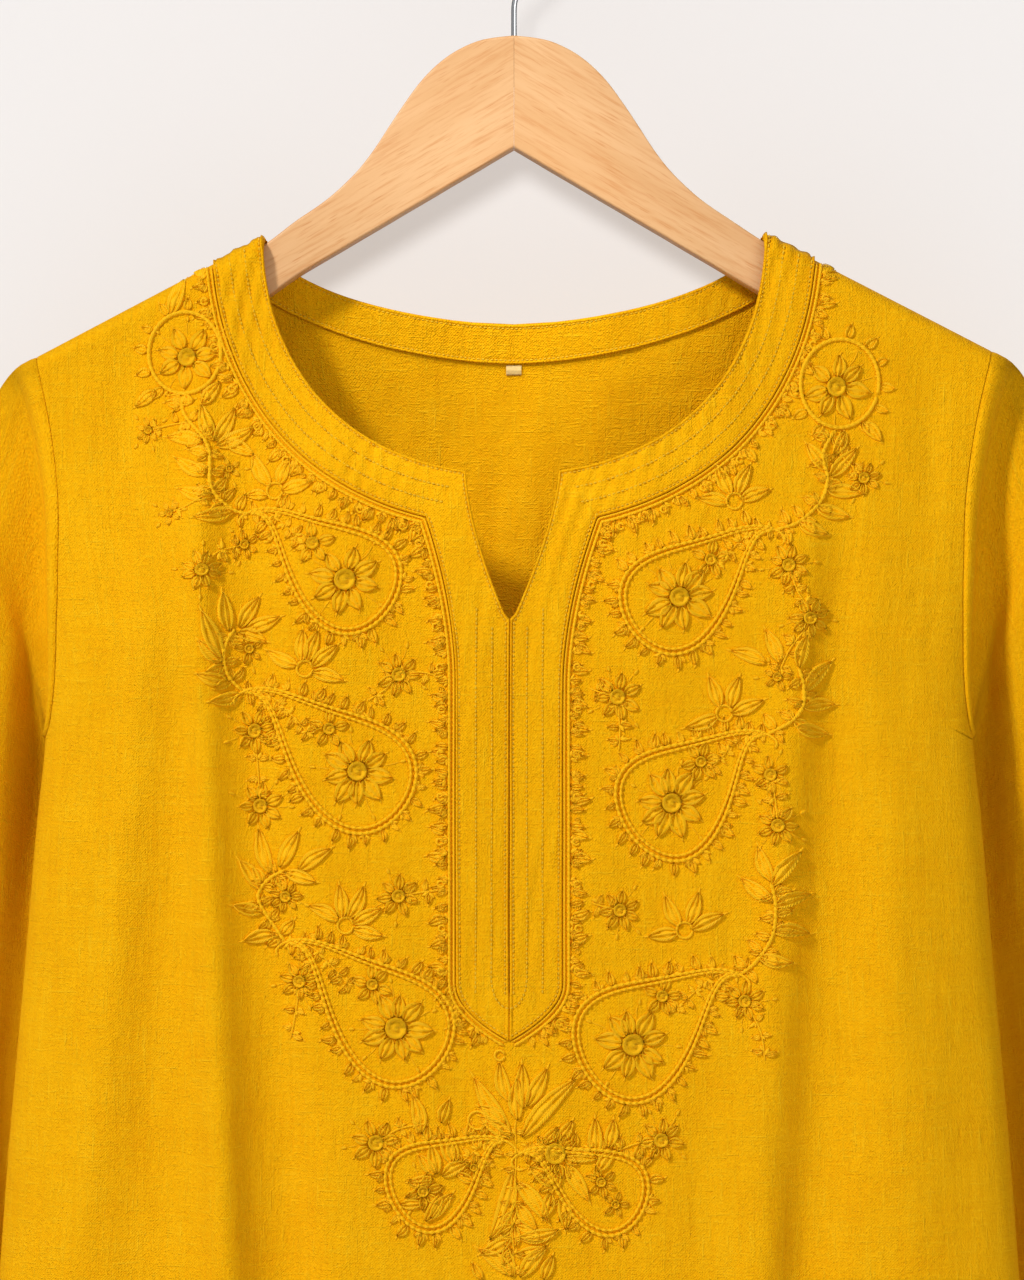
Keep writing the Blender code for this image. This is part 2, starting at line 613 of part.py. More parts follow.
# ---- hanger ----------------------------------------------------------------------------------
def arm_outline():
    """Outline of the +X arm in X and Z, from the mitre's top, out along the top and back below."""
    top = [(p.x, HUMP_TOP_Z - p.top) for p in ARM]
    bottom = [(p.x, HUMP_TOP_Z - p.bottom) for p in ARM]
    for x in ARM_STATIONS:
        top.append((x, float(shoulder_z(x)) - ARM_CLOTH_GAP))
        share = (x - ARM[-1].x) / (ARM_TIP - ARM[-1].x)
        depth = (ARM[-1].bottom - ARM[-1].top) * (1 - share) + ARM_TIP_DEPTH * share
        bottom.append((x, float(shoulder_z(x)) - ARM_CLOTH_GAP - depth))
    tip_top, tip_bottom = np.array(top[-1]), np.array(bottom[-1])
    middle, reach = (tip_top + tip_bottom) / 2, (tip_top - tip_bottom) / 2
    along = np.array((1.0, -SHOULDER_SLOPE)) * (ARM_TIP - tip_top[0])
    tip = [tuple(middle + reach * np.cos(a) + along * np.sin(a))
           for a in np.linspace(0, np.pi, 6)[1:-1]]
    return top + tip + bottom[::-1]


def make_arm(name, hand):
    """Flat wooden arm: the outline through the thickness, with its long edges rounded."""
    outline = [(x + SEAM_GAP / 2 if x == 0.0 else x, z) for x, z in arm_outline()]
    shape = bmesh.new()
    near = [shape.verts.new((MM * hand * x, -MM * ARM_THICKNESS / 2, MM * z)) for x, z in outline]
    face = shape.faces.new(near)
    grown = bmesh.ops.extrude_face_region(shape, geom=[face])
    for vert in (v for v in grown["geom"] if isinstance(v, bmesh.types.BMVert)):
        vert.co.y += MM * ARM_THICKNESS
    bmesh.ops.recalc_face_normals(shape, faces=shape.faces)
    mitre_x = MM * SEAM_GAP / 2 + 1e-6
    rounded = [edge for edge in shape.edges
               if abs(edge.verts[0].co.y - edge.verts[1].co.y) < 1e-7
               and max(abs(v.co.x) for v in edge.verts) > mitre_x]
    bmesh.ops.bevel(shape, geom=rounded, offset=MM * ARM_EDGE_ROUND, segments=3, profile=0.5,
                    affect="EDGES", clamp_overlap=True)
    bmesh.ops.triangulate(shape, faces=shape.faces)
    mesh = bpy.data.meshes.new(name)
    shape.to_mesh(mesh)
    shape.free()
    return shaded_object(name, mesh, WOOD_SHARP, BEECH)


def hook_route():
    """Centre line of the wire: straight stem, one bend to the right, then round over the top."""
    radius = HOOK_INNER_RADIUS + WIRE_DIAMETER / 2
    centre = np.array((0.0, -HOOK_INNER_RADIUS))
    angles = np.radians(np.linspace(HOOK_START_ANGLE, HOOK_END_ANGLE, 26))
    arc = centre + radius * np.column_stack((np.cos(angles), np.sin(angles)))
    foot = np.array((0.0, STEM_BEND_Z))
    leave = foot + (0.0, STEM_BEND_HANDLE)
    arrive = arc[0] - STEM_BEND_HANDLE * np.array((-np.sin(angles[0]), np.cos(angles[0])))
    t = np.linspace(0, 1, 8)[:-1, None]
    bend = ((1 - t) ** 3 * foot + 3 * t * (1 - t) ** 2 * leave
            + 3 * t * t * (1 - t) * arrive + t ** 3 * arc[0])
    stem_z = np.linspace(HUMP_TOP_Z - STEM_SUNK, STEM_BEND_Z, 5)[:-1]
    stem = np.column_stack((np.zeros_like(stem_z), stem_z))
    return np.vstack((stem, bend, arc))


def make_hook():
    """Steel wire with round section and closed ends."""
    curve = bpy.data.curves.new("hook", "CURVE")
    curve.dimensions = "3D"
    curve.bevel_depth = MM * WIRE_DIAMETER / 2
    curve.bevel_resolution = 3
    curve.use_fill_caps = True
    route = hook_route()
    spline = curve.splines.new("POLY")
    spline.points.add(len(route) - 1)
    for point, (x, z) in zip(spline.points, route):
        point.co = (MM * x, 0.0, MM * z, 1.0)
    made = bpy.data.objects.new("hook", curve)
    made.data.materials.append(material("hook_finish", STEEL))
    bpy.context.collection.objects.link(made)
    return made


def drill_stem_hole(arms):
    """Blind hole for the stem, half in each arm."""
    depth = STEM_SUNK + 1.0
    shape = bmesh.new()
    bmesh.ops.create_cone(shape, cap_ends=True, segments=16, depth=MM * 2 * depth,
                          radius1=MM * (WIRE_DIAMETER / 2 + STEM_HOLE_GAP),
                          radius2=MM * (WIRE_DIAMETER / 2 + STEM_HOLE_GAP))
    mesh = bpy.data.meshes.new("stem_drill")
    shape.to_mesh(mesh)
    shape.free()
    drill = bpy.data.objects.new("stem_drill", mesh)
    drill.location = (0.0, 0.0, MM * HUMP_TOP_Z)
    drill.hide_render = True
    drill.display_type = "WIRE"
    bpy.context.collection.objects.link(drill)
    for arm in arms:
        cut = arm.modifiers.new("stem_hole", "BOOLEAN")
        cut.operation = "DIFFERENCE"
        cut.object = drill


def build():
    for old in list(bpy.data.objects):
        bpy.data.objects.remove(old)
    front = front_and_facing()
    back = back_and_facing()
    make_sleeve("sleeve_right", front, back, 1)
    make_sleeve("sleeve_left", front, back, -1)
    drill_stem_hole([make_arm("hanger_arm_right", 1), make_arm("hanger_arm_left", -1)])
    make_hook()


build()
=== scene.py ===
"""Looks of a kurta tunic on a wooden hanger: its cloth, needlework, stitching, wood and wire.

The front faces -Y, +X is the right-hand side seen from the front, +Z is up, and the origin is the
inner top of the hook. Sizes are in millimetres and become metres in the meshes. A place on the cloth
is given by x, counted from the middle of the tunic, and by the drop, counted down from the neck
point. One function turns such a place into a point of the front or of the back; panels, bands, seams,
stitches and needlework all lie on it at their own height.
"""

from collections import namedtuple

import bmesh
import bpy
import numpy as np
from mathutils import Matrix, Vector


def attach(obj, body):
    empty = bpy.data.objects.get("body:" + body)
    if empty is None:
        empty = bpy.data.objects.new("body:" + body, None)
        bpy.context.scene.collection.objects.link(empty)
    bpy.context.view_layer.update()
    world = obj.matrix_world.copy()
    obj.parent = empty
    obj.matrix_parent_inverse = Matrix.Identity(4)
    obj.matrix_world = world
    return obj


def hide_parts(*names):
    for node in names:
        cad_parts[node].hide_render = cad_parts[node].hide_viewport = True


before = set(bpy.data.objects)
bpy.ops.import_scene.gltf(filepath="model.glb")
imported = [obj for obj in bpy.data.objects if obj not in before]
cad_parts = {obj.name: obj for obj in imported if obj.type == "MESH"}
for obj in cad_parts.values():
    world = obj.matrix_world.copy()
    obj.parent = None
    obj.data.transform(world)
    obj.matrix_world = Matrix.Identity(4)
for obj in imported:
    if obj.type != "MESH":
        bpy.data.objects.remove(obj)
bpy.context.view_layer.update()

MM = 0.001
FRONT, BACK = -1, 1
SIDES = (-1, 1)


def rows_of(columns, *values):
    """A table with named columns, one row for each group of values."""
    row = namedtuple("row", columns)
    return [row(*value) for value in values]


# ---- neck and shoulders
NECK_Z = -156.9
NECK_HALF = 108.4
SHOULDER_HALF = 207.0
SHOULDER_SLOPE = 0.525
APEX_SOFTNESS = 20.0
SHOULDER_ROUND = 7.0
ARM_CLEARANCE = 11.2    # how far the cloth stands off the middle plane over the hanger's arms
FALL_REACH = 160.0      # drop over which it widens to the full section
LIFT, LIFT_TILT = 3.0, 0.0065
LIFT_REACH = {FRONT: 110.0, BACK: 260.0}
FRONT_NECK_DEPTH, FRONT_NECK_POWER = 101.9, 2.15
BACK_NECK_DEPTH, BACK_NECK_POWER = 36.0, 1.8
FRONT_BAND_WIDTH = 22.3
BACK_BAND_WIDTH = 17.0
BAND_SHOULDER_HALF = 130.5

# ---- neck notch, slit and placket
NOTCH_HALF = 19.8
NOTCH_BOTTOM = 163.0
NOTCH_BOTTOM_HALF = 1.6
NOTCH_CURVE = 1.5
SLIT_HALF = 0.15
SLIT_BOTTOM = 324.0
CORNER_HALF = 36.5
PLACKET_HALF = 22.7
PLACKET_FLARE_END, PLACKET_FLARE_CURVE = 190.0, 1.8
PLACKET_SIDE_END = 319.0
PLACKET_TIP, PLACKET_TIP_CURVE = 343.0, 1.9

# ---- body
LENGTH = 880.0
UNDERARM = 216.0
SLIT_TOP = 660.0
SLIT_SPREAD = 0.02
ROLL = {FRONT: 3.9, BACK: 2.8}      # powers of the sections' superellipses
LEAN, LEAN_START, LEAN_END = -2.1, 40.0, 200.0
BODY = rows_of(
    "drop half_width front_depth back_depth",
    (0, 226, 30, 29), (50, 222, 32, 30), (84, 215.5, 34, 31), (126, 207.5, 36, 33), (160, 202.2, 38, 34),
    (190, 200.3, 39, 35), (216, 200.8, 40, 36), (250, 204.3, 41, 37), (310, 209.3, 42, 38),
    (394, 216.7, 44, 40), (450, 220.8, 46, 41), (660, 238, 50, 45), (880, 255.5, 52, 48))
ARMHOLE = rows_of(
    "drop share",
    (52, 0.933), (53, 0.9326), (56, 0.9315), (61, 0.9298), (72, 0.9272), (92, 0.9262), (116, 0.933),
    (142, 0.951), (166, 0.966), (187, 0.974), (202, 0.9815), (211.5, 0.99), (216, 1))
# Folds and creases: each runs down a line that may bow sideways. A ridge rises, a trough falls.
FOLDS = rows_of(
    "side x_top x_bottom bow drop_top drop_bottom rise_top rise_bottom width",
    (FRONT, -115, -77, 0, 60, 880, -3.8, -10.5, 16), (FRONT, -136, -99, 0, 60, 880, 3.8, 9.5, 10),
    (FRONT, -136, -176, 0, 140, 880, -2, -9, 14), (FRONT, 152, 107, 0, 60, 880, -2.2, -12, 17),
    (FRONT, 130, 84, 0, 60, 880, 2, 9.5, 12), (FRONT, 168, 196, 0, 200, 880, 0.5, 6, 16),
    (FRONT, -20, -34, 0, 430, 880, 0.5, 8, 26), (FRONT, 48, 62, 0, 430, 880, -0.5, -7, 20),
    (BACK, -118, -140, 0, 60, 880, -2, -12, 17), (BACK, -62, -84, 0, 150, 880, 1.5, 9, 18),
    (BACK, 8, -6, 0, 60, 880, -2, -12, 18), (BACK, 72, 82, 0, 180, 880, 1.5, 9, 18),
    (BACK, 130, 148, 0, 70, 880, -1, -9, 16))
CREASES = rows_of(
    "side x_top x_bottom bow drop_top drop_bottom rise_top rise_bottom width",
    (FRONT, -137, -110, 0, 40, 640, 3, 3, 7), (FRONT, -152, -217, 9, 120, 620, 3, 3, 10),
    (FRONT, -165, -170, 0, 45, 260, -1.8, -1.8, 9), (FRONT, 143, 116, 0, 52, 560, -2.2, -2.2, 9),
    (FRONT, 150, 166, 2, 80, 480, 1.8, 1.8, 13), (FRONT, 179, 180, 1, 50, 190, -1.8, -1.8, 7),
    (FRONT, 194, 164, 0, 130, 220, -1.2, -1.2, 8), (FRONT, -196, -172, 0, 130, 225, -1.4, -1.4, 8),
    (FRONT, -96, -86, 2, 330, 640, -1.8, -1.8, 9), (FRONT, 82, 92, -3, 330, 700, -1.8, -1.8, 11),
    (FRONT, 12, 16, 4, 470, 880, -2.4, -2.4, 14), (FRONT, -62, -70, -4, 500, 880, -2.6, -2.6, 12),
    (FRONT, 108, 112, 3, 560, 880, 2, 2, 10), (BACK, -150, -160, 6, 80, 430, -2.8, -2.8, 11),
    (BACK, -92, -100, -3, 120, 620, 1.8, 1.8, 9), (BACK, -30, -24, 2, 90, 380, -1.6, -1.6, 10),
    (BACK, 46, 40, 4, 110, 560, -2.2, -2.2, 11), (BACK, 104, 112, -2, 90, 460, 1.6, 1.6, 8),
    (BACK, 168, 178, 3, 60, 520, -2.6, -2.6, 10), (BACK, 18, 30, -4, 520, 880, 2.4, 2.4, 13))
FOLD_FADE, CREASE_FADE = 90.0, 45.0
# Soft unevenness of the hanging cloth: waves with their two wavelengths, height and start.
WAVES = rows_of(
    "across along height start",
    (71, 430, 0.45, 0.4), (43, -310, 0.28, 2.1), (27, 190, 0.17, 4), (-19, 84, 0.09, 1.2),
    (11, 71, 0.05, 5.1))

# ---- sleeves, label, hanger and hook
ROLL_RINGS = rows_of(
    "out_top out_middle out_bottom lift_top lift_bottom front_share back_share shift",
    (4, 3.6, 1, -1.6, 1.6, 1, 1.05, 0), (8.5, 6.6, 1.4, -4.1, 1.6, 0.72, 1.2, 1.2),
    (12.5, 7.6, 1, -7.2, 0.4, 0.28, 1.45, 4.5))
SLEEVE = rows_of(
    "outer_x outer_drop inner_x inner_drop centre_y half_depth flute",
    (230, 71, 201.6, 216, 14, 17, 0), (244, 88, 200, 221, 20, 25, 0.01),
    (263, 118, 197.5, 232, 28, 32, 0.02), (281, 165, 196.5, 252, 36, 36, 0.03),
    (294, 226, 196.5, 287, 42.5, 37, 0.05), (302, 296, 200, 334, 46, 37, 0.07),
    (308, 372, 206.5, 390, 47.5, 37, 0.09), (313, 444, 214, 450, 48, 36, 0.1),
    (318, 512, 219, 512, 49, 35, 0.11))
CREVICE = (11.0, 5.0, 11.0)     # dent of the sleeve's face: its depth, place beside the body, and width
FLUTES, FLUTE_START = 3, 0.9
LABEL_WIDTH, LABEL_HEIGHT, LABEL_THICKNESS, LABEL_DROP = 7.0, 4.2, 0.4, 0.5
HUMP_TOP_Z = -70.0
ARM_THICKNESS = 13.0
ARM_EDGE_ROUND = 1.3
ARM_CLOTH_GAP = 3.7
MITRE_GAP = 0.1
ARM = rows_of(
    "x top bottom",
    (0, -2.5, 46.2), (8.5, -1.6, 51.2), (15, -0.3, 55.1), (21.5, 2.3, 58.9), (28, 6, 62.7),
    (34.5, 11.2, 66.6), (41, 18.1, 70.4), (47.5, 27, 74.2), (54, 36.7, 78.1), (60.5, 46.7, 81.9),
    (67, 55.2, 85.7), (73.5, 61.9, 89.6), (80, 67.7, 93.4), (86.5, 72.5, 97.2), (93, 76.8, 101.1))
ARM_STATIONS = (NECK_HALF, 128.0, 150.0, 170.0, 186.0)
ARM_TIP, ARM_TIP_DEPTH = 200.0, 17.0
WIRE_RADIUS = 1.2
HOOK_INNER_RADIUS = 20.0
HOOK_START_ANGLE, HOOK_END_ANGLE = -50.0, 205.0
STEM_BEND_Z, STEM_SUNK, STEM_BEND_HANDLE = -56.0, 18.0, 10.0

# ---- the cloth's thicknesses
CLOTH = 0.9             # thickness of a panel
BAND_HEIGHT = 1.25      # top of the neck band above the front
BAND_THICKNESS = 0.95
FACING_NEAR = 1.35      # face of the inside facing that the back lies on, below the back's outside
FACING_THICKNESS = 0.9
NORMAL_STEP = 0.4       # step for the slopes that give the cloth's normal


# ---- lines and curves
def smooth_step(t):
    """Rise from 0 to 1 with level ends."""
    t = np.clip(t, 0.0, 1.0)
    return t * t * (3 - 2 * t)


def bells(at, table):
    """Sum of bells, each with its height, place and width."""
    return sum(height * np.exp(-((at - place) / width) ** 2) for height, place, width in table)


def hermite(places, values, at):
    """Cubic curve through values at places, read at new places; its slopes are central ones."""
    places, values = np.asarray(places, float), np.asarray(values, float)
    slopes = np.gradient(values, places, axis=0)
    at = np.clip(at, places[0], places[-1])
    i = np.clip(np.searchsorted(places, at, side="right") - 1, 0, len(places) - 2)
    shape = at.shape + (1,) * (values.ndim - 1)
    step = (places[i + 1] - places[i]).reshape(shape)
    t = (at - places[i]).reshape(shape) / step
    near = (1 + 2 * t) * (1 - t) ** 2 * values[i] + t * (1 - t) ** 2 * step * slopes[i]
    return near + t * t * (3 - 2 * t) * values[i + 1] + t * t * (t - 1) * step * slopes[i + 1]


def through(rows, column):
    """A smooth function of the drop that passes through one column of a table."""
    places, values = [row.drop for row in rows], [getattr(row, column) for row in rows]
    return lambda drop: hermite(places, values, np.asarray(drop, float))


def unit(vectors):
    """Vectors brought to length 1."""
    return vectors / np.maximum(np.linalg.norm(vectors, axis=-1, keepdims=True), 1e-9)


def distances(line):
    """Distance of each point of a polyline from its start."""
    return np.concatenate(([0.0], np.cumsum(np.linalg.norm(np.diff(line, axis=0), axis=1))))


def read(table, known, at):
    """Columns of a table, known at some places, read at others."""
    return np.column_stack([np.interp(at, known, column) for column in table.T])


def resample(line, steps):
    """Points at equal lengths along a polyline."""
    length = distances(line)
    return read(line, length, np.linspace(0.0, length[-1], steps))


def along_path(path, step):
    """Places at equal steps along a smooth curve through the path's points, with their distances."""
    path = np.asarray(path, float)
    if len(path) < 12:
        path = hermite(np.arange(len(path)), path, np.linspace(0, len(path) - 1, 12 * len(path)))
    length = distances(path)
    at = np.linspace(0.0, length[-1], max(int(length[-1] / step), 4) + 1)
    return read(path, length, at), at


def left_of(path):
    """Unit normals of a path, on its left-hand side."""
    tangent = unit(np.gradient(path, axis=0))
    return np.column_stack((-tangent[:, 1], tangent[:, 0]))


def mirrored(line):
    """A line on +X carried on over the middle to the other side."""
    return np.vstack((line, (line * (-1, 1))[::-1][1:]))


# ---- the cloth as a function
half_width = through(BODY, "half_width")
section_depth = {FRONT: through(BODY, "front_depth"), BACK: through(BODY, "back_depth")}
armhole_share = through(ARMHOLE, "share")


def soft_abs(x):
    """Distance from the centre line, rounded at the centre line itself."""
    return np.sqrt(np.square(x) + APEX_SOFTNESS ** 2)


def shoulder_drop(x):
    """Drop of the shoulder line at x, carried on across the neck opening."""
    return SHOULDER_SLOPE * (soft_abs(x) - soft_abs(NECK_HALF))


def lean(drop):
    """Sideways shift of the body at a drop."""
    return LEAN * smooth_step((drop - LEAN_START) / (LEAN_END - LEAN_START))


def ridge_lift(x, drop, side):
    """Rise of the cloth at the shoulder line, a little more on +X, that dies out below it."""
    return (LIFT + LIFT_TILT * x) * (1 - smooth_step((drop - shoulder_drop(x)) / LIFT_REACH[side]))


def section_turn(x, drop, side):
    """Depth of the body's section at x as a share of its full depth: a superellipse."""
    share = np.clip(np.abs(x) / half_width(drop), 0.0, 1.0)
    return (1 - share ** ROLL[side]) ** (1 / ROLL[side])


def fold_rise(table, fade, x, drop, side):
    """Sum of folds: a bell across each line, its rise changing along it and faded at its ends."""
    total = np.zeros_like(x)
    for fold in (fold for fold in table if fold.side == side):
        along = np.clip((drop - fold.drop_top) / (fold.drop_bottom - fold.drop_top), 0.0, 1.0)
        line = fold.x_top + (fold.x_bottom - fold.x_top) * along + fold.bow * np.sin(np.pi * along)
        rise = fold.rise_top + (fold.rise_bottom - fold.rise_top) * along
        rise = rise * smooth_step((drop - fold.drop_top) / fade)
        if fold.drop_bottom < LENGTH:
            rise = rise * smooth_step((fold.drop_bottom - drop) / (2 * fade))
        total += bells(x, [(rise, line, fold.width)])
    return total


def wave_rise(x, drop, side):
    """Sum of slanted sine waves, with another start on either side."""
    turns = (2 * np.pi * (x / wave.across + drop / wave.along) + wave.start * (2 + side) for wave in WAVES)
    rise = sum(wave.height * np.sin(turn) for wave, turn in zip(WAVES, turns))
    return rise * smooth_step((drop - shoulder_drop(x)) / SHOULDER_ROUND / 4)


def cloth_place(x, drop, side):
    """Outer face of the cloth: over the hanger's arm at the top, then out to the full section."""
    below = np.maximum(drop - shoulder_drop(x), 0.0)
    over = np.sqrt(1 - (1 - np.minimum(below / SHOULDER_ROUND, 1.0)) ** 2) * ARM_CLEARANCE
    turn = section_turn(x, drop, side)
    y = over + (section_depth[side](drop) * turn - ARM_CLEARANCE) * smooth_step(below / FALL_REACH)
    rise = (fold_rise(FOLDS, FOLD_FADE, x, drop, side) + fold_rise(CREASES, CREASE_FADE, x, drop, side)
            + wave_rise(x, drop, side))
    z = NECK_Z - drop + ridge_lift(x, drop, side)
    return np.stack((x + lean(drop), side * (y + rise * turn), z), axis=-1)


def cloth_points(x, drop, side, height=0.0):
    """Points at a height over the cloth, along the normal that its slopes give."""
    x, drop = np.broadcast_arrays(np.asarray(x, float), np.asarray(drop, float))
    step = NORMAL_STEP
    across = cloth_place(x + step, drop, side) - cloth_place(x - step, drop, side)
    along = cloth_place(x, drop + step, side) - cloth_place(x, drop - step, side)
    normal = side * unit(np.cross(across, along))
    return cloth_place(x, drop, side) + normal * np.asarray(height, float)[..., None]


# ---- outlines on the cloth, on +X, as (x, drop) rows
def neck_arc(half, depth, power, steps, end_x=0.0):
    """Superellipse from the shoulder line down to the centre line, or to a given x."""
    start_drop = max(float(shoulder_drop(half)), 0.0)
    start = np.arcsin((start_drop / depth) ** (power / 2))
    end = np.arccos((end_x / half) ** (power / 2))
    angle = start + (end - start) * np.linspace(0.0, 1.0, steps) ** 1.4
    return np.column_stack((half * np.cos(angle) ** (2 / power), depth * np.sin(angle) ** (2 / power)))


def neck_edge(side, steps):
    """Neck edge of the front, as far as the notch, or of the back, as far as its middle."""
    if side == FRONT:
        return neck_arc(NECK_HALF, FRONT_NECK_DEPTH, FRONT_NECK_POWER, steps, NOTCH_HALF)
    return neck_arc(NECK_HALF, BACK_NECK_DEPTH, BACK_NECK_POWER, steps)


def armhole_x(drop):
    """Armhole edge: a share of the body's half width."""
    return armhole_share(drop) * half_width(drop)


def side_x(drop):
    """Side edge below the underarm; the edges of the side slit draw back."""
    open_part = np.clip((drop - SLIT_TOP) / (LENGTH - SLIT_TOP), 0.0, 1.0)
    return half_width(drop) * (1 - SLIT_SPREAD * open_part)


def inner_x(drop):
    """Inner edge of the front: the V notch, curved a little, one side of the slit, then the middle."""
    top = neck_edge(FRONT, 2)[-1, 1]
    t = np.clip((drop - top) / (NOTCH_BOTTOM - top), 0.0, 1.0)
    x = NOTCH_BOTTOM_HALF + (NOTCH_HALF - NOTCH_BOTTOM_HALF) * (1 - t ** NOTCH_CURVE)
    return np.where(drop > SLIT_BOTTOM, 0.0, np.where(drop > NOTCH_BOTTOM, SLIT_HALF, x))


# ---- meshes
def grid_faces(rows, columns, wrap=False):
    """Quads of a grid whose points are numbered row by row; wrap joins the last column to the first."""
    row = np.arange(rows - 1)[:, None] * columns
    column = np.arange(columns if wrap else columns - 1)[None, :]
    right = (column + 1) % columns
    corners = (row + column, row + right, row + columns + right, row + columns + column)
    return np.stack(corners, axis=-1).reshape(-1, 4)


def tube_faces(count, rows, columns):
    """Faces of a number of like closed tubes: quads round each of them, and a cap at either end."""
    first = np.arange(count) * rows * columns
    faces = (grid_faces(rows, columns, wrap=True)[None] + first[:, None, None]).reshape(-1, 4).tolist()
    for start in first:
        faces.append(list(range(start, start + columns))[::-1])
        faces.append(list(range(start + (rows - 1) * columns, start + rows * columns)))
    return faces


def linked(name, data):
    """An object in the scene with its data."""
    made = bpy.data.objects.new(name, data)
    bpy.context.collection.objects.link(made)
    return made


def new_piece(name, points, faces, material, uv=None, node_name=None, turn=None, wall=0.0,
              merge=0.0, sharp=0.0):
    """A smooth mesh piece from points in millimetres; uv holds metres on the cloth.

    Its faces may be turned outwards, or as a whole to the front. A wall gives a sheet its thickness on
    the inner side of its faces.
    """
    mesh = bpy.data.meshes.new(name)
    mesh.from_pydata((np.reshape(points, (-1, 3)) * MM).tolist(), [], [tuple(face) for face in faces])
    if uv is not None:
        corner = np.empty(len(mesh.loops), int)
        mesh.loops.foreach_get("vertex_index", corner)
        layer = mesh.uv_layers.new(name="cloth")
        layer.data.foreach_set("uv", np.reshape(uv, (-1, 2)).astype(float)[corner].ravel())
    shape = bmesh.new()
    shape.from_mesh(mesh)
    if merge:
        bmesh.ops.remove_doubles(shape, verts=shape.verts, dist=merge * MM)
        bmesh.ops.dissolve_degenerate(shape, edges=shape.edges, dist=merge * MM)
    if turn == "outwards":
        bmesh.ops.recalc_face_normals(shape, faces=shape.faces)
    shape.to_mesh(mesh)
    shape.free()
    mesh.shade_smooth()
    if sharp:
        mesh.set_sharp_from_angle(angle=sharp)
    normals = np.empty(len(mesh.polygons) * 3)
    mesh.polygons.foreach_get("normal", normals)
    if turn == "front" and normals[1::3].sum() > 0:
        mesh.flip_normals()
    mesh.materials.append(material)
    piece = linked(name, mesh)
    if wall:
        solid = piece.modifiers.new("thickness", "SOLIDIFY")
        solid.thickness, solid.offset = wall * MM, -1.0
    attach(piece, "root")
    if node_name:
        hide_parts(node_name)
    return piece


# ---- node helpers
def feed(tree, made, inputs):
    """Sets a node's inputs, by name or number, and links those whose value is a socket."""
    for key, value in inputs.items():
        if isinstance(value, bpy.types.NodeSocket):
            tree.links.new(value, made.inputs[key])
        else:
            made.inputs[key].default_value = value


def node(tree, kind, inputs=None, **settings):
    """A shader node with its settings and inputs."""
    made = tree.nodes.new(kind)
    for key, value in settings.items():
        setattr(made, key, value)
    feed(tree, made, inputs or {})
    return made


def maths(tree, operation, *values):
    """Output of a Math node on the values, each a number or a socket."""
    return node(tree, "ShaderNodeMath", dict(enumerate(values)), operation=operation).outputs[0]


def weighted(tree, *parts):
    """Sum of parts, each times its weight."""
    total = 0.0
    for part, weight in parts:
        total = maths(tree, "MULTIPLY_ADD", part, weight, total)
    return total


def blend(tree, share, first, second):
    """Mix of two colours by a share."""
    return node(tree, "ShaderNodeMix", {0: share, 6: first, 7: second}, data_type="RGBA").outputs[2]


def ramp(tree, value, low, high, to_low=0.0, to_high=1.0):
    """Value carried from one range to another and held inside it."""
    inputs = {0: value, 1: low, 2: high, 3: to_low, 4: to_high}
    return node(tree, "ShaderNodeMapRange", inputs, clamp=True).outputs[0]


def noise(tree, vector, scale=1.0, detail=2.0, rough=0.5):
    """Soft noise, 0 to 1; a scale for each axis draws it out."""
    if isinstance(scale, tuple):
        vector = node(tree, "ShaderNodeMapping", {"Vector": vector, "Scale": scale}).outputs[0]
        scale = 1.0
    inputs = {"Vector": vector, "Scale": scale, "Detail": detail, "Roughness": rough}
    return node(tree, "ShaderNodeTexNoise", inputs).outputs[0]


def bump(tree, height, strength, distance, **under):
    """Normal of a relief, which may lie on another one."""
    inputs = {"Strength": strength, "Distance": distance, "Height": height, **under}
    return node(tree, "ShaderNodeBump", inputs).outputs[0]


def cloth_place_and_axes(tree):
    """Place on the cloth from the UV map, in metres, and its two parts."""
    place = node(tree, "ShaderNodeUVMap", uv_map="cloth").outputs[0]
    return place, *node(tree, "ShaderNodeSeparateXYZ", {0: place}).outputs[:2]


def new_material(name):
    """A material with its Principled shader; gives (material, tree, shader)."""
    made = bpy.data.materials.new(name)
    made.use_nodes = True
    return made, made.node_tree, made.node_tree.nodes["Principled BSDF"]


def new_group(name, inputs, outputs):
    """A node group with named sockets; gives (group, its inputs by name, its outputs' node)."""
    group = bpy.data.node_groups.new(name, "ShaderNodeTree")
    for side, sockets in (("INPUT", inputs), ("OUTPUT", outputs)):
        for label, kind in sockets.items():
            group.interface.new_socket(label, in_out=side, socket_type="NodeSocket" + kind)
    return group, group.nodes.new("NodeGroupInput").outputs, group.nodes.new("NodeGroupOutput")


# ---- finishes
MUSTARD = (0.862, 0.416, 0.0012, 1.0)
MUSTARD_DEEP = (0.790, 0.330, 0.0008, 1.0)
MUSTARD_PALE = (0.945, 0.530, 0.0080, 1.0)
SHEEN = (1.0, 0.55, 0.03, 1.0)
THREAD = (0.955, 0.530, 0.0075, 1.0)
# The palest thread colour is a painted highlight on the tops of the sewing thread's ridges.
THREAD_PAINTED_HIGHLIGHT = (1.0, 0.700, 0.060, 1.0)
BEECH, BEECH_PALE = (0.675, 0.364, 0.152, 1.0), (0.750, 0.438, 0.206, 1.0)
BEECH_LINE, BEECH_PORE = (0.60, 0.258, 0.078, 1.0), (0.56, 0.225, 0.060, 1.0)
# The second steel colour is painted shade for the wire's sides that turn away from the view.
STEEL, STEEL_PAINTED_SHADE = (0.86, 0.87, 0.89, 1.0), (0.16, 0.17, 0.19, 1.0)
TAPE, TAPE_PALE = (0.70, 0.44, 0.10, 1.0), (0.84, 0.64, 0.28, 1.0)
FLOOR, FLOOR_PALE = (0.80, 0.78, 0.76, 1.0), (0.84, 0.82, 0.80, 1.0)
WEAVE_PITCH = 0.00062       # metres from yarn to yarn
RIB_PITCH = 0.0006
WOOD_GRAIN_ANGLE = 0.52


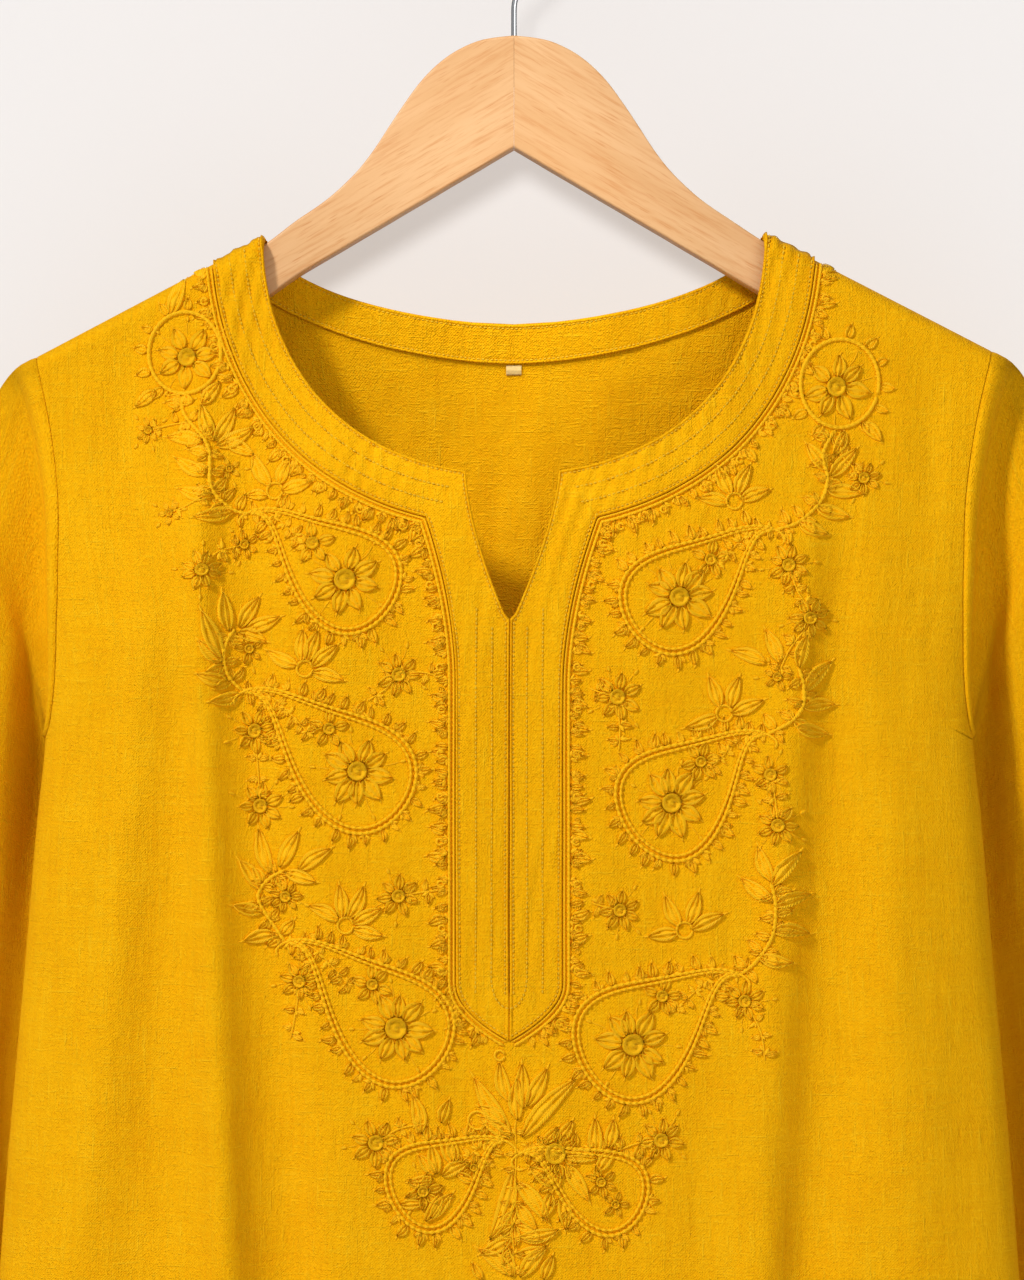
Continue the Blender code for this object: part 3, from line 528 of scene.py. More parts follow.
def slub_weave_group():
    """Plain weave of uneven, washed yarn.

    Height adds the product of two sines (warp and weft), a fuzzy grain, short dashes that follow the
    warp or the weft, faint streaks and bars drawn out along them, and thin long slubs where such a
    noise is high. Shade is the same parts with a broad cloud, as a colour share a little over a half.
    """
    group, given, out = new_group("slub weave", {"Place": "Vector", "Pitch": "Float"},
                                  {"Height": "Float", "Shade": "Float"})
    place = given["Place"]
    axes = node(group, "ShaderNodeSeparateXYZ", {0: place}).outputs
    turns = maths(group, "DIVIDE", np.pi, given["Pitch"])
    sway = maths(group, "MULTIPLY", noise(group, place, 620.0, 1.0), 5.0)
    weave = maths(group, "MULTIPLY", *(maths(group, "SINE", maths(group, "MULTIPLY_ADD", axis, turns, sway))
                                       for axis in axes[:2]))
    grain = noise(group, place, 900.0, 2.0, 0.6)
    dash = maths(group, "MAXIMUM", noise(group, place, (1600.0, 340.0, 1.0), 1.0),
                 noise(group, place, (310.0, 1600.0, 1.0), 1.0))
    long_slub = ramp(group, noise(group, place, (1150.0, 48.0, 1.0), 2.0, 0.55), 0.57, 0.78)
    cross_slub = ramp(group, noise(group, place, (60.0, 1150.0, 1.0), 2.0, 0.55), 0.58, 0.80)
    slub = maths(group, "MAXIMUM", long_slub, cross_slub)
    streak = noise(group, place, (420.0, 20.0, 1.0))
    bar = noise(group, place, (18.0, 460.0, 1.0))
    cloud = noise(group, place, 38.0, 3.0, 0.6)
    feed(group, out, {
        "Height": weighted(group, (weave, 0.14), (grain, 1.0), (dash, 0.85), (slub, 0.40), (streak, 0.20),
                           (bar, 0.14)),
        "Shade": weighted(group, (grain, 0.34), (dash, 0.26), (streak, 0.16), (bar, 0.12), (cloud, 0.20),
                          (slub, 0.24))})
    return group


def cockle_group():
    """Faint crumple of washed cloth: soft noise at two sizes, a little drawn out along the warp."""
    group, given, out = new_group("cockle", {"Place": "Vector"}, {"Height": "Float"})
    broad = noise(group, given["Place"], (60.0, 22.0, 1.0))
    small = noise(group, given["Place"], (210.0, 90.0, 1.0), 2.0, 0.55)
    feed(group, out, {"Height": weighted(group, (broad, 1.0), (small, 0.35))})
    return group


def cloth_material(name, weave, cockle):
    """Matte slubbed weave: the weave shifts the colour a little and gives the fine relief."""
    made, tree, shader = new_material(name)
    place = cloth_place_and_axes(tree)[0]
    yarn = node(tree, "ShaderNodeGroup", {"Place": place, "Pitch": WEAVE_PITCH}, node_tree=weave).outputs
    crumple = node(tree, "ShaderNodeGroup", {"Place": place}, node_tree=cockle).outputs["Height"]
    tone = blend(tree, ramp(tree, yarn["Shade"], 0.40, 0.57), MUSTARD_DEEP, MUSTARD)
    tone = blend(tree, ramp(tree, yarn["Shade"], 0.57, 0.82), tone, MUSTARD_PALE)
    feed(tree, shader, {
        "Base Color": tone, "Roughness": 0.92, "Specular IOR Level": 0.06, "Sheen Weight": 0.05,
        "Sheen Roughness": 0.55, "Sheen Tint": SHEEN,
        "Normal": bump(tree, yarn["Height"], 1.0, 0.00068, Normal=bump(tree, crumple, 1.0, 0.0016))})
    return made


def thread_material(name, pitch, low=MUSTARD, top=THREAD):
    """Stranded thread: slanted ridges along its own run, with a painted highlight in the top colour on their
    tops and painted shade in the low colour between them.
    """
    made, tree, shader = new_material(name)
    place, run, across = cloth_place_and_axes(tree)
    run = maths(tree, "ADD", run, maths(tree, "MULTIPLY", across, 0.9))
    ridge = maths(tree, "SINE", maths(tree, "MULTIPLY", run, 2 * np.pi / pitch))
    ridge = maths(tree, "MULTIPLY_ADD", ridge, 0.5, 0.5)
    height = weighted(tree, (ridge, 1.0), (noise(tree, place, 1500.0), 0.8))
    # painted highlight and shade: the colour rises from the low one to the top one with the ridges' height
    feed(tree, shader, {"Base Color": blend(tree, ramp(tree, height, 0.3, 1.3), low, top), "Roughness": 0.50,
                        "Specular IOR Level": 0.09, "Normal": bump(tree, height, 0.8, 0.00018)})
    return made


def wood_material(name, hand):
    """Beech board: pale bands and fine pores drawn out along the arm."""
    made, tree, shader = new_material(name)
    place = node(tree, "ShaderNodeTexCoord").outputs["Object"]
    turned = node(tree, "ShaderNodeMapping",
                  {"Vector": place, "Rotation": (0.0, -hand * WOOD_GRAIN_ANGLE, 0.0)}).outputs[0]
    bands = noise(tree, turned, (7.0, 60.0, 95.0), 3.0, 0.55)
    lines = noise(tree, turned, (52.0, 420.0, 900.0), 3.0, 0.6)
    pores = noise(tree, turned, (95.0, 900.0, 1700.0), 1.0)
    tone = blend(tree, ramp(tree, bands, 0.34, 0.66), BEECH, BEECH_PALE)
    tone = blend(tree, ramp(tree, lines, 0.48, 0.74, 0.0, 0.75), tone, BEECH_LINE)
    tone = blend(tree, ramp(tree, pores, 0.62, 0.76, 0.0, 0.6), tone, BEECH_PORE)
    height = maths(tree, "SUBTRACT", lines, ramp(tree, pores, 0.66, 0.74))
    feed(tree, shader, {"Base Color": tone, "Roughness": ramp(tree, lines, 0.3, 0.8, 0.34, 0.5),
                        "Specular IOR Level": 0.4, "Normal": bump(tree, height, 0.25, 0.0001)})
    return made


def steel_material():
    """Polished steel wire: bright down its middle, with painted shade that darkens its colour where it turns
    away from the view.
    """
    made, tree, shader = new_material("hook_steel")
    facing = node(tree, "ShaderNodeLayerWeight", {"Blend": 0.5}).outputs["Facing"]
    # painted shade: the colour goes over to the dark steel as the wire turns away from the view
    tone = blend(tree, ramp(tree, facing, 0.25, 0.62), STEEL, STEEL_PAINTED_SHADE)
    feed(tree, shader, {"Base Color": tone, "Roughness": 0.12, "Metallic": 1.0})
    return made


def label_material():
    """Folded woven tape: fine ribs across it."""
    made, tree, shader = new_material("label_tape")
    place, _, down = cloth_place_and_axes(tree)
    rib = maths(tree, "SINE", maths(tree, "MULTIPLY", down, 2 * np.pi / RIB_PITCH))
    feed(tree, shader, {"Base Color": blend(tree, noise(tree, place, 1400.0), TAPE, TAPE_PALE),
                        "Roughness": 0.75, "Normal": bump(tree, rib, 0.5, 0.0001)})
    return made


cloth_groups = slub_weave_group(), cockle_group()
FRONT_CLOTH, BACK_CLOTH, SLEEVE_CLOTH, BAND_CLOTH = (
    cloth_material(name + "_cloth", *cloth_groups) for name in ("front", "back", "sleeve", "band"))
CORD_THREAD = thread_material("cord_thread", 0.0013)
SATIN_THREAD = thread_material("satin_thread", 0.0008)
# the sewing thread's ridge tops carry the palest colour as a painted highlight
SEWING_THREAD = thread_material("sewing_thread", 0.0006, THREAD, THREAD_PAINTED_HIGHLIGHT)


# ---- panels
ROW_STEP = {FRONT: 3.6, BACK: 4.8}
TOP_ROWS = (0.0, 0.12, 0.45, 1.0, 1.8, 2.8, 4.0, 5.5, 7.0, 9.0, 11.5)
PANEL_COLUMNS = 66
PANEL_ENDS = np.array((0.35, 0.9, 1.8))
SHIFT_REACH = 520.0     # drop over which the rows' slant levels out below the notch
CORNER_REACH = 11.0     # stretch above the underarm with closer rows
UV_MIDDLE = 0.5
HEM_WIDTH = 15.0        # turned-up hem of the panels and the cuffs
HEM_SEAM = HEM_WIDTH - 1.6
HEM_STEP, HEM_STEP_RUN = 0.40, 1.2
HEM_BELLS = ((0.18, 0.6, 0.7), (-0.34, HEM_SEAM, 0.55))     # its rolled edge, and the stitches' groove
HEM_ROWS = np.concatenate((np.arange(-1.8, 3.4, 0.55) - HEM_WIDTH, (-1.2, -0.5)))   # closer rows there


def hem_relief(distance):
    """Height of a turned hem at a distance above its edge: a low step up, with the stitches' groove."""
    return HEM_STEP * smooth_step((HEM_WIDTH - distance) / HEM_STEP_RUN) + bells(distance, HEM_BELLS)


def panel_rows(side):
    """Inner and outer ends of the panel's rows, as (x, drop), from the shoulder line to the hem.

    Down to the end of the neck's curve both ends lie at the same depth below the shoulder line. From
    there the outer end is lower than the inner one by a difference that fades away towards the hem.
    """
    neck = neck_edge(side, 240)
    neck_below = np.maximum(neck[:, 1] - shoulder_drop(neck[:, 0]), 0.0)
    count = int(neck_below[-1] / ROW_STEP[side])
    below = np.concatenate((TOP_ROWS, np.linspace(TOP_ROWS[-1], neck_below[-1], count)[1:]))
    inner = read(neck, neck_below, below)
    edge_drop = np.concatenate(([float(shoulder_drop(SHOULDER_HALF))], np.linspace(53.0, UNDERARM, 160)))
    edge_x = np.concatenate(([SHOULDER_HALF], armhole_x(edge_drop[1:])))
    edge_below = np.maximum(edge_drop - shoulder_drop(edge_x), 0.0)
    edge_below[0] = 0.0
    outer = read(np.column_stack((edge_x, edge_drop)), edge_below, below)

    start, shift = inner[-1, 1], outer[-1, 1] - inner[-1, 1]

    def outer_drop(drop):
        """Drop of a row's outer end."""
        return drop + shift * (1 - smooth_step((drop - start) / SHIFT_REACH))

    stops = (start, LENGTH)
    if side == FRONT:
        stops = (start, NOTCH_BOTTOM, NOTCH_BOTTOM + 1.0, SLIT_BOTTOM, SLIT_BOTTOM + 0.01, LENGTH)
    drops = [np.linspace(a, b, max(int((b - a) / ROW_STEP[side]), 1) + 1)[1:]
             for a, b in zip(stops, stops[1:])]
    fine = np.linspace(start, start + UNDERARM, 400)
    reach = outer_drop(fine)
    corner = fine[(reach > UNDERARM - CORNER_REACH) & (reach < UNDERARM + 1.0)]
    drops = np.unique(np.concatenate(drops + [corner, LENGTH + HEM_ROWS]))
    low_drop = outer_drop(drops)
    low_x = np.where(low_drop < UNDERARM, armhole_x(low_drop), side_x(low_drop))
    middle_x = inner_x(drops) if side == FRONT else np.zeros_like(drops)
    return (np.vstack((inner, np.column_stack((middle_x, drops)))),
            np.vstack((outer, np.column_stack((low_x, low_drop)))))


def panel_row(inner, outer, side):
    """Places along one row, spaced by the cloth's own length between its two ends.

    A row runs straight from end to end, and near the top it bends with the shoulder line.
    """
    t = np.sin(np.linspace(0.0, np.pi / 2, 260))
    x, drop = (inner + (outer - inner) * t[:, None]).T
    shoulder = shoulder_drop(x)
    bend = shoulder - (shoulder[0] + (shoulder[-1] - shoulder[0]) * t)
    drop = drop + bend * (1 - smooth_step((drop - shoulder) / TOP_ROWS[-1]))
    length = distances(cloth_place(x, drop, side))
    middle = np.linspace(PANEL_ENDS[-1], length[-1] - PANEL_ENDS[-1], PANEL_COLUMNS)
    near = np.concatenate(([0.0], PANEL_ENDS[:-1]))
    at = np.concatenate((near, middle, length[-1] - near[::-1]))
    return np.column_stack((read(np.column_stack((x, drop)), length, at), at))


def make_panel(name, side, material):
    """Front or back: two halves of rows and columns, joined along the middle where they meet."""
    inner, outer = panel_rows(side)
    halves, faces, uv = [], [], []
    for hand in SIDES:
        table = np.array([panel_row(a * (hand, 1), b * (hand, 1), side) for a, b in zip(inner, outer)])
        rows, columns = table.shape[:2]
        halves.append(table[..., :2].reshape(-1, 2))
        uv.append(np.column_stack((UV_MIDDLE + hand * MM * (table[..., 2] + np.abs(inner[:, :1])).ravel(),
                                   1.0 - MM * table[..., 1].ravel())))
        quads = grid_faces(rows, columns) + len(faces) * rows * columns
        faces.append(quads if hand * side > 0 else quads[:, ::-1])
    places, uv = np.vstack(halves), np.vstack(uv)
    joined = np.flatnonzero(inner[:, 0] == 0.0) * columns
    number = np.arange(len(places))
    number[joined + len(halves[0])] = joined
    used, faces = np.unique(number[np.vstack(faces)], return_inverse=True)
    x, drop = places[used].T
    points = cloth_points(x, drop, side, hem_relief(LENGTH - drop))
    return new_piece(name + "_panel", points, faces.reshape(-1, 4), material, uv[used], node_name=name,
                     wall=CLOTH)


front_panel = make_panel("front", FRONT, FRONT_CLOTH)
back_panel = make_panel("back", BACK, BACK_CLOTH)


# ---- sleeves
SLEEVE_AROUND = 58      # points over each of the sleeve's two faces
SLEEVE_ALONG = 96
SLEEVE_FIRST = (0.0, 0.5, 1.2, 2.2)
SLEEVE_GAP = 0.08       # how far its first ring stands off the panels' edges
# Ripples of the sleeves: waves round them, their height, slant, start and fade.
RIPPLES = rows_of("around height slant start fade", (7, 0.5, 60, 0, 60), (11, 0.35, -37, 1, 90))
ARMHOLE_DIP = (-0.30, 0.0, 0.8)


def sleeve_rings(hand):
    """Rings of the sleeve, as in the table: the armhole edge, the rolls out of it, then ellipses.

    Counted positions round the ring run down the front edge of the armhole and up its back edge.
    """
    half = len(ARMHOLE)
    count = np.linspace(0, half - 1, SLEEVE_AROUND)
    drops = np.array([row.drop for row in ARMHOLE], float)
    drop = np.maximum.accumulate(hermite(np.arange(half), drops, count))
    share = np.clip((drops[1] - drop) / (drops[1] - drops[0]), 0.0, 1.0)
    x = armhole_x(drop) + (SHOULDER_HALF - armhole_x(drops[0])) * share
    drop = drop + (float(shoulder_drop(SHOULDER_HALF)) - drops[0]) * share
    faces = [cloth_points(hand * x, drop, side) for side in (FRONT, BACK)]
    ups = [cloth_points(hand * x, drop, side, 1.0) - face for side, face in zip((FRONT, BACK), faces)]
    loop, normals = (np.vstack((front, back[::-1])) for front, back in (faces, ups))
    away = unit(np.cross(np.roll(loop, -1, axis=0) - np.roll(loop, 1, axis=0), normals))
    away = away * np.sign(away[0, 0] * hand)
    counted = np.concatenate((count, 2 * half - 1 - count[::-1]))
    down = 1 - np.abs(counted - (half - 0.5)) / (half - 0.5)
    down = (down - down.min()) / (down.max() - down.min())
    rings = [loop + away * SLEEVE_GAP]
    for row in ROLL_RINGS:
        out = np.interp(down, (0, 0.5, 1), (row.out_top, row.out_middle, row.out_bottom))
        lift = np.interp(down, (0, 1), (row.lift_top, row.lift_bottom))
        ring = loop + np.column_stack((hand * out, np.zeros_like(out), lift))
        ring[:, 1] = ring[:, 1] * np.where(ring[:, 1] < 0, row.front_share, row.back_share) + row.shift
        rings.append(ring)
    angle = (counted + 0.5) / half * np.pi
    for row in SLEEVE:
        outer = np.array((hand * row.outer_x, row.centre_y, NECK_Z - row.outer_drop))
        inner = np.array((hand * row.inner_x, row.centre_y, NECK_Z - row.inner_drop))
        reach = 1 + row.flute * np.cos(FLUTES * angle - FLUTE_START)
        ring = (outer + inner) / 2 + np.outer(reach * np.cos(angle), (outer - inner) / 2)
        ring[:, 1] -= row.half_depth * reach * np.sin(angle)
        drop = NECK_Z - ring[:, 2]
        dent = bells(np.abs(ring[:, 0]) - half_width(np.maximum(drop, UNDERARM)), [CREVICE])
        ring[:, 1] += np.clip(dent, 0.0, 0.5 * row.half_depth * np.maximum(np.sin(angle), 0.0))
        ring[:, 0] += lean(drop)
        ring[:, 2] += ridge_lift(ring[:, 0], drop, FRONT)
        rings.append(ring)
    return np.array(rings)


def make_sleeve(name, hand):
    """Tube through the rings with smooth curves between them, open at both ends.

    Gives the piece, and the cuff's stitch row: its places, steps towards the edge and normals.
    """
    rings = sleeve_rings(hand)
    places = np.concatenate(([0.0], np.cumsum(np.linalg.norm(np.diff(rings, axis=0), axis=2).mean(axis=1))))
    end = places[-1]
    even = np.linspace(SLEEVE_FIRST[-1], end, SLEEVE_ALONG)[1:]
    at = np.unique(np.round(np.concatenate((SLEEVE_FIRST, even, end + HEM_ROWS)), 3))
    points = hermite(places, rings, at)
    rows, around = points.shape[:2]
    around_step = np.roll(points, -1, axis=1) - np.roll(points, 1, axis=1)
    normal = unit(np.cross(around_step, np.gradient(points, axis=0)))
    normal = normal * np.sign(((points - points.mean(axis=1, keepdims=True)) * normal)[rows // 2].sum())
    turn, down = np.arange(around)[None, :] / around * 2 * np.pi, at[:, None]
    raised = hem_relief(at[-1] - down) + bells(down, [ARMHOLE_DIP])
    for ripple in RIPPLES:
        wave = np.sin(ripple.around * turn + down / ripple.slant + ripple.start)
        raised = raised + ripple.height * wave * smooth_step(down / ripple.fade)
    points = points + normal * raised[..., None]
    across = np.cumsum(np.linalg.norm(around_step, axis=2).mean(axis=0) / 2)
    uv = np.stack(np.broadcast_arrays(MM * across, 1.0 - MM * down), axis=-1)
    faces = grid_faces(rows, around, wrap=True)
    quad = points.reshape(-1, 3)[faces[len(faces) // 2]]
    outward = np.cross(quad[1] - quad[0], quad[2] - quad[0])
    if np.dot(outward, quad.mean(axis=0) - points[rows // 2].mean(axis=0)) < 0:
        faces = faces[:, ::-1]
    piece = new_piece(name + "_sleeve_tube", points, faces, SLEEVE_CLOTH, uv, node_name="sleeve_" + name,
                      wall=CLOTH)
    seam = np.argmin(np.abs(at - (at[-1] - HEM_SEAM)))
    return piece, (points[seam], points[seam + 1] - points[seam], normal[seam])


(sleeve_left, left_cuff), (sleeve_right, right_cuff) = (
    make_sleeve(name, hand) for name, hand in (("left", -1), ("right", 1)))


# ---- neck band, placket and facing
BAND_RUN_ROWS = (88, 40, 92, 18)
BAND_EDGE_COLUMNS = np.array((0.0, 0.12, 0.35, 0.7, 1.1, 1.5, 1.9, 2.4, 3.2))
BAND_COLUMNS, FACING_COLUMNS = 16, 8
BAND_SEAM = 1.6         # distance of the stitches from the band's edges
EDGE_RUN = 0.6          # width of the band's rounded edge
EDGE_BELLS = ((0.48, 0.75, 0.45), (-0.42, BAND_SEAM, 0.45))     # its roll, and the stitches' groove
WRINKLE_FADE = 3.0
FACING_EDGE, FACING_WRINKLE = 0.6, 0.5      # shares of the band's relief that the facing has
LABEL_GAP, LABEL_LOOP = 0.5, 0.5            # how far the label stands off the back, and its loop more
BAND_MERGE = 0.02


def band_outer_line(steps=60):
    """Outer edge of the neck band and the placket on +X, in its four runs, as (x, drop) rows."""
    depth = FRONT_NECK_DEPTH + FRONT_BAND_WIDTH
    arc = neck_arc(BAND_SHOULDER_HALF, depth, FRONT_NECK_POWER, steps, CORNER_HALF)
    t = np.linspace(0.0, 1.0, steps)
    flare = PLACKET_HALF + (CORNER_HALF - PLACKET_HALF) * (1 - t) ** PLACKET_FLARE_CURVE
    point = PLACKET_HALF * (1 - t ** PLACKET_TIP_CURVE)
    stops = (arc[-1, 1], PLACKET_FLARE_END, PLACKET_SIDE_END, PLACKET_TIP)
    return [arc] + [np.column_stack((x, top + (bottom - top) * t)) for x, top, bottom
                    in zip((flare, np.full(steps, PLACKET_HALF), point), stops, stops[1:])]


def band_inner_line(steps=60):
    """Inner edge on +X in the same four runs: neck, notch, slit and the middle below the slit."""
    neck = neck_edge(FRONT, steps)
    runs = ((neck[-1, 1], NOTCH_BOTTOM), (NOTCH_BOTTOM + 0.8, SLIT_BOTTOM), (SLIT_BOTTOM + 0.01, PLACKET_TIP))
    drops = [np.linspace(top, bottom, steps) for top, bottom in runs]
    return [neck] + [np.column_stack((inner_x(drop), drop)) for drop in drops]


def edge_profile(distance):
    """Height of a folded, topstitched edge: round over, a low roll, then the groove of the stitches."""
    round_over = np.sqrt(1 - (1 - np.clip(distance / EDGE_RUN, 0.0, 1.0)) ** 2)
    return (BAND_HEIGHT - 0.3) * (round_over - 1) + bells(distance, EDGE_BELLS)


def band_wrinkles(x, drop, from_edge):
    """Shallow puckers between the rows of stitches: slanted short waves that come and go."""
    come = 0.5 + 0.5 * np.sin(x / 17.0 + drop / 23.0 + 1.0)
    long_pucker = np.sin(2 * np.pi * (x / 7.5 + drop / 31.0) + 1.8 * np.sin(drop / 19.0))
    short_pucker = np.sin(2 * np.pi * (x / 4.6 - drop / 17.0) + 1.1 * np.sin(x / 9.0))
    come = come * (1 - 0.62 * smooth_step((drop - 105.0) / 40.0)) * smooth_step(from_edge / WRINKLE_FADE)
    return come * (0.52 * long_pucker + 0.26 * short_pucker)


def strip_places(inner, outer, columns):
    """Rows of places between two edges, closer to each other near these.

    Gives x, the drop, the UV map and the distance from the nearer edge.
    """
    width = np.linalg.norm(outer - inner, axis=1)
    shares = []
    for w in width:
        near = BAND_EDGE_COLUMNS * min(1.0, w / (2.6 * BAND_EDGE_COLUMNS[-1]))
        middle = np.linspace(near[-1], w - near[-1], columns)[1:-1]
        shares.append(np.concatenate((near, middle, (w - near)[::-1])) / max(w, 1e-6))
    share = np.array(shares)
    x, drop = (a[:, None] * (1 - share) + b[:, None] * share for a, b in zip(inner.T, outer.T))
    return x, drop, np.minimum(share, 1 - share) * width[:, None]


def cloth_uv(x, drop):
    """Place on the cloth in metres."""
    return np.stack((UV_MIDDLE + MM * x, 1.0 - MM * drop), axis=-1)


def make_band():
    """Neck band and placket in one: rows from the inner to the outer edge, runs matched in turn."""
    edges = [np.vstack([resample(run, rows)[:-1] for run, rows in zip(runs, BAND_RUN_ROWS)] + [runs[-1][-1:]])
             for runs in (band_inner_line(), band_outer_line())]
    right_x, drop, from_edge = strip_places(*edges, BAND_COLUMNS)
    x, drop = np.stack((-right_x, right_x)), np.stack((drop, drop))
    height = BAND_HEIGHT + edge_profile(from_edge) + band_wrinkles(x, drop, from_edge)
    quads = grid_faces(*from_edge.shape)
    faces = np.vstack((quads, quads[:, ::-1] + from_edge.size))
    return new_piece("neck_band_sewn", cloth_points(x, drop, FRONT, height), faces, BAND_CLOTH,
                     cloth_uv(x, drop), node_name="neck_band_and_placket", turn="front", wall=BAND_THICKNESS,
                     merge=BAND_MERGE)


def make_facing():
    """Strip inside the back neck, between the neck edge and a curve below it."""
    low = neck_arc(BAND_SHOULDER_HALF, BACK_NECK_DEPTH + BACK_BAND_WIDTH, BACK_NECK_POWER, 120)
    edges = [mirrored(resample(line, 70)) for line in (neck_edge(BACK, 120), low)]
    x, drop, from_edge = strip_places(*edges, FACING_COLUMNS)
    depth = FACING_NEAR + FACING_THICKNESS + FACING_EDGE * edge_profile(from_edge)
    depth = depth + FACING_WRINKLE * band_wrinkles(x, drop, from_edge)
    return new_piece("back_neck_strip", cloth_points(x, drop, BACK, -depth), grid_faces(*x.shape), BAND_CLOTH,
                     cloth_uv(x, drop), node_name="back_neck_facing", turn="front",
                     wall=0.8 * FACING_THICKNESS)


def make_label():
    """Folded tape below the facing: it stands off the back in a soft loop and is sewn at its top."""
    x, t = np.meshgrid(np.linspace(-LABEL_WIDTH / 2, LABEL_WIDTH / 2, 15), np.linspace(0.0, 1.0, 13))
    drop = BACK_NECK_DEPTH + BACK_BAND_WIDTH + LABEL_DROP + LABEL_HEIGHT * t
    points = cloth_points(x, drop, BACK, -(CLOTH + LABEL_GAP + LABEL_LOOP * np.sin(np.pi * t)))
    uv = np.stack((UV_MIDDLE + MM * x, MM * drop), axis=-1)
    new_piece("label_tab", points, grid_faces(*x.shape), label_material(), uv,
              node_name="label", turn="front", wall=LABEL_THICKNESS)


neck_band = make_band()
neck_strip = make_facing()
make_label()


# ---- hanger and hook
ARM_CORNER_STEPS = 6
ARM_QUARTERS = ((1, 1), (-1, 1), (-1, -1), (1, -1))     # signs of y and up in each corner
ARM_SHARP = 0.9         # angle from which an edge is shaded as a sharp one


def arm_edges(hand):
    """Top and bottom edge of an arm as (x, z) rows: smooth curves through the table, a round tip."""
    stations = [(row.x, HUMP_TOP_Z - row.top, HUMP_TOP_Z - row.bottom) for row in ARM]
    root = ARM[-1]
    for x in ARM_STATIONS:
        share = (x - root.x) / (ARM_TIP - root.x)
        top = NECK_Z - shoulder_drop(x) - ARM_CLOTH_GAP + ridge_lift(hand * x, shoulder_drop(x), BACK)
        stations.append((x, top, top - (root.bottom - root.top) * (1 - share) - ARM_TIP_DEPTH * share))
    places, *heights = np.array(stations).T
    x = np.linspace(MITRE_GAP / 2, places[-1], 90)
    top, bottom = (np.column_stack((x, hermite(places, height, x))) for height in heights)
    middle, reach = (top[-1] + bottom[-1]) / 2, (top[-1] - bottom[-1]) / 2
    along = np.array((1.0, -SHOULDER_SLOPE)) * (ARM_TIP - places[-1])
    angle = np.linspace(0.0, np.pi / 2, 12)[1:, None]
    return [np.vstack((line, middle + sign * reach * np.cos(angle) + along * np.sin(angle)))
            for line, sign in ((top, 1), (bottom, -1))]


def make_arm(name, hand):
    """Wooden arm: a rounded rectangle carried from the mitre to the tip between the two edges."""
    top, bottom = arm_edges(hand)
    middle, reach = (top + bottom) / 2, (top - bottom) / 2
    size = np.linalg.norm(reach, axis=1)[:, None]
    radius = np.minimum(ARM_EDGE_ROUND, np.maximum(size * 0.98, 0.01))
    rings = []
    for quarter, (y_sign, up_sign) in enumerate(ARM_QUARTERS):
        angle = np.linspace(0.0, np.pi / 2, ARM_CORNER_STEPS) + quarter * np.pi / 2
        y = y_sign * (ARM_THICKNESS / 2 - radius) + radius * np.cos(angle)
        up = up_sign * (size - radius) + radius * np.sin(angle)
        place = middle[:, None] + (up / np.maximum(size, 1e-6))[..., None] * reach[:, None]
        rings.append(np.stack((hand * place[..., 0], y, place[..., 1]), axis=-1))
    points = np.concatenate(rings, axis=1)
    new_piece(name + "_arm", points, tube_faces(1, *points.shape[:2]),
              wood_material(name + "_arm_beech", hand), node_name="hanger_arm_" + name,
              turn="outwards", merge=0.005, sharp=ARM_SHARP)


def hook_route():
    """Centre line of the wire: straight stem, one bend, then a circle over the rail."""
    angles = np.radians(np.linspace(HOOK_START_ANGLE, HOOK_END_ANGLE, 90))
    turn = np.column_stack((np.cos(angles), np.sin(angles)))
    arc = np.array((0.0, -HOOK_INNER_RADIUS)) + (HOOK_INNER_RADIUS + WIRE_RADIUS) * turn
    foot = np.array((0.0, STEM_BEND_Z))
    leave = foot + (0.0, STEM_BEND_HANDLE)
    arrive = arc[0] - STEM_BEND_HANDLE * np.array((-turn[0, 1], turn[0, 0]))
    t = np.linspace(0, 1, 24)[:-1, None]
    bend = (1 - t) ** 3 * foot + 3 * t * (1 - t) ** 2 * leave + 3 * t * t * (1 - t) * arrive + t ** 3 * arc[0]
    stem = np.linspace(HUMP_TOP_Z - STEM_SUNK, STEM_BEND_Z, 12)[:-1]
    return np.vstack((np.column_stack((np.zeros_like(stem), stem)), bend, arc))


def make_hook():
    """Wire: a circle carried along the route, closed by half spheres at both ends."""
    route = hook_route()
    tangent = unit(np.gradient(route, axis=0))
    cap = np.linspace(0.0, np.pi / 2, 6)[:-1, None]
    side = np.pad(left_of(route), ((len(cap), len(cap) - 1), (0, 0)), mode="edge")
    size = WIRE_RADIUS * np.vstack((np.sin(cap), np.ones((len(route), 1)), np.cos(cap[1:])))
    route = np.vstack((route[0] - tangent[0] * WIRE_RADIUS * np.cos(cap), route,
                       route[-1] + tangent[-1] * WIRE_RADIUS * np.sin(cap[1:])))
    angle = np.linspace(0, 2 * np.pi, 17)[:-1]
    x, z = (route[:, k:k + 1] + side[:, k:k + 1] * size * np.cos(angle) for k in (0, 1))
    new_piece("hook_wire", np.stack((x, size * np.sin(angle), z), axis=-1), tube_faces(1, *x.shape),
              steel_material(), node_name="hook", turn="outwards", merge=0.002)


for name, hand in (("left", -1), ("right", 1)):
    make_arm(name, hand)
make_hook()


# ---- needlework: its shapes
# Every shape is worked out as (x, drop, height) rows and sewn onto the cloth by sew().
THREAD_RISE = 1.2       # all raised heights are times this
SUNK = 0.3              # how far the foot of every raised shape lies in the cloth
CORD_ACROSS = np.array((-1.0, -0.72, 0.0, 0.72, 1.0))
CORD_UP = np.array((0.0, 0.70, 1.0, 0.70, 0.0))
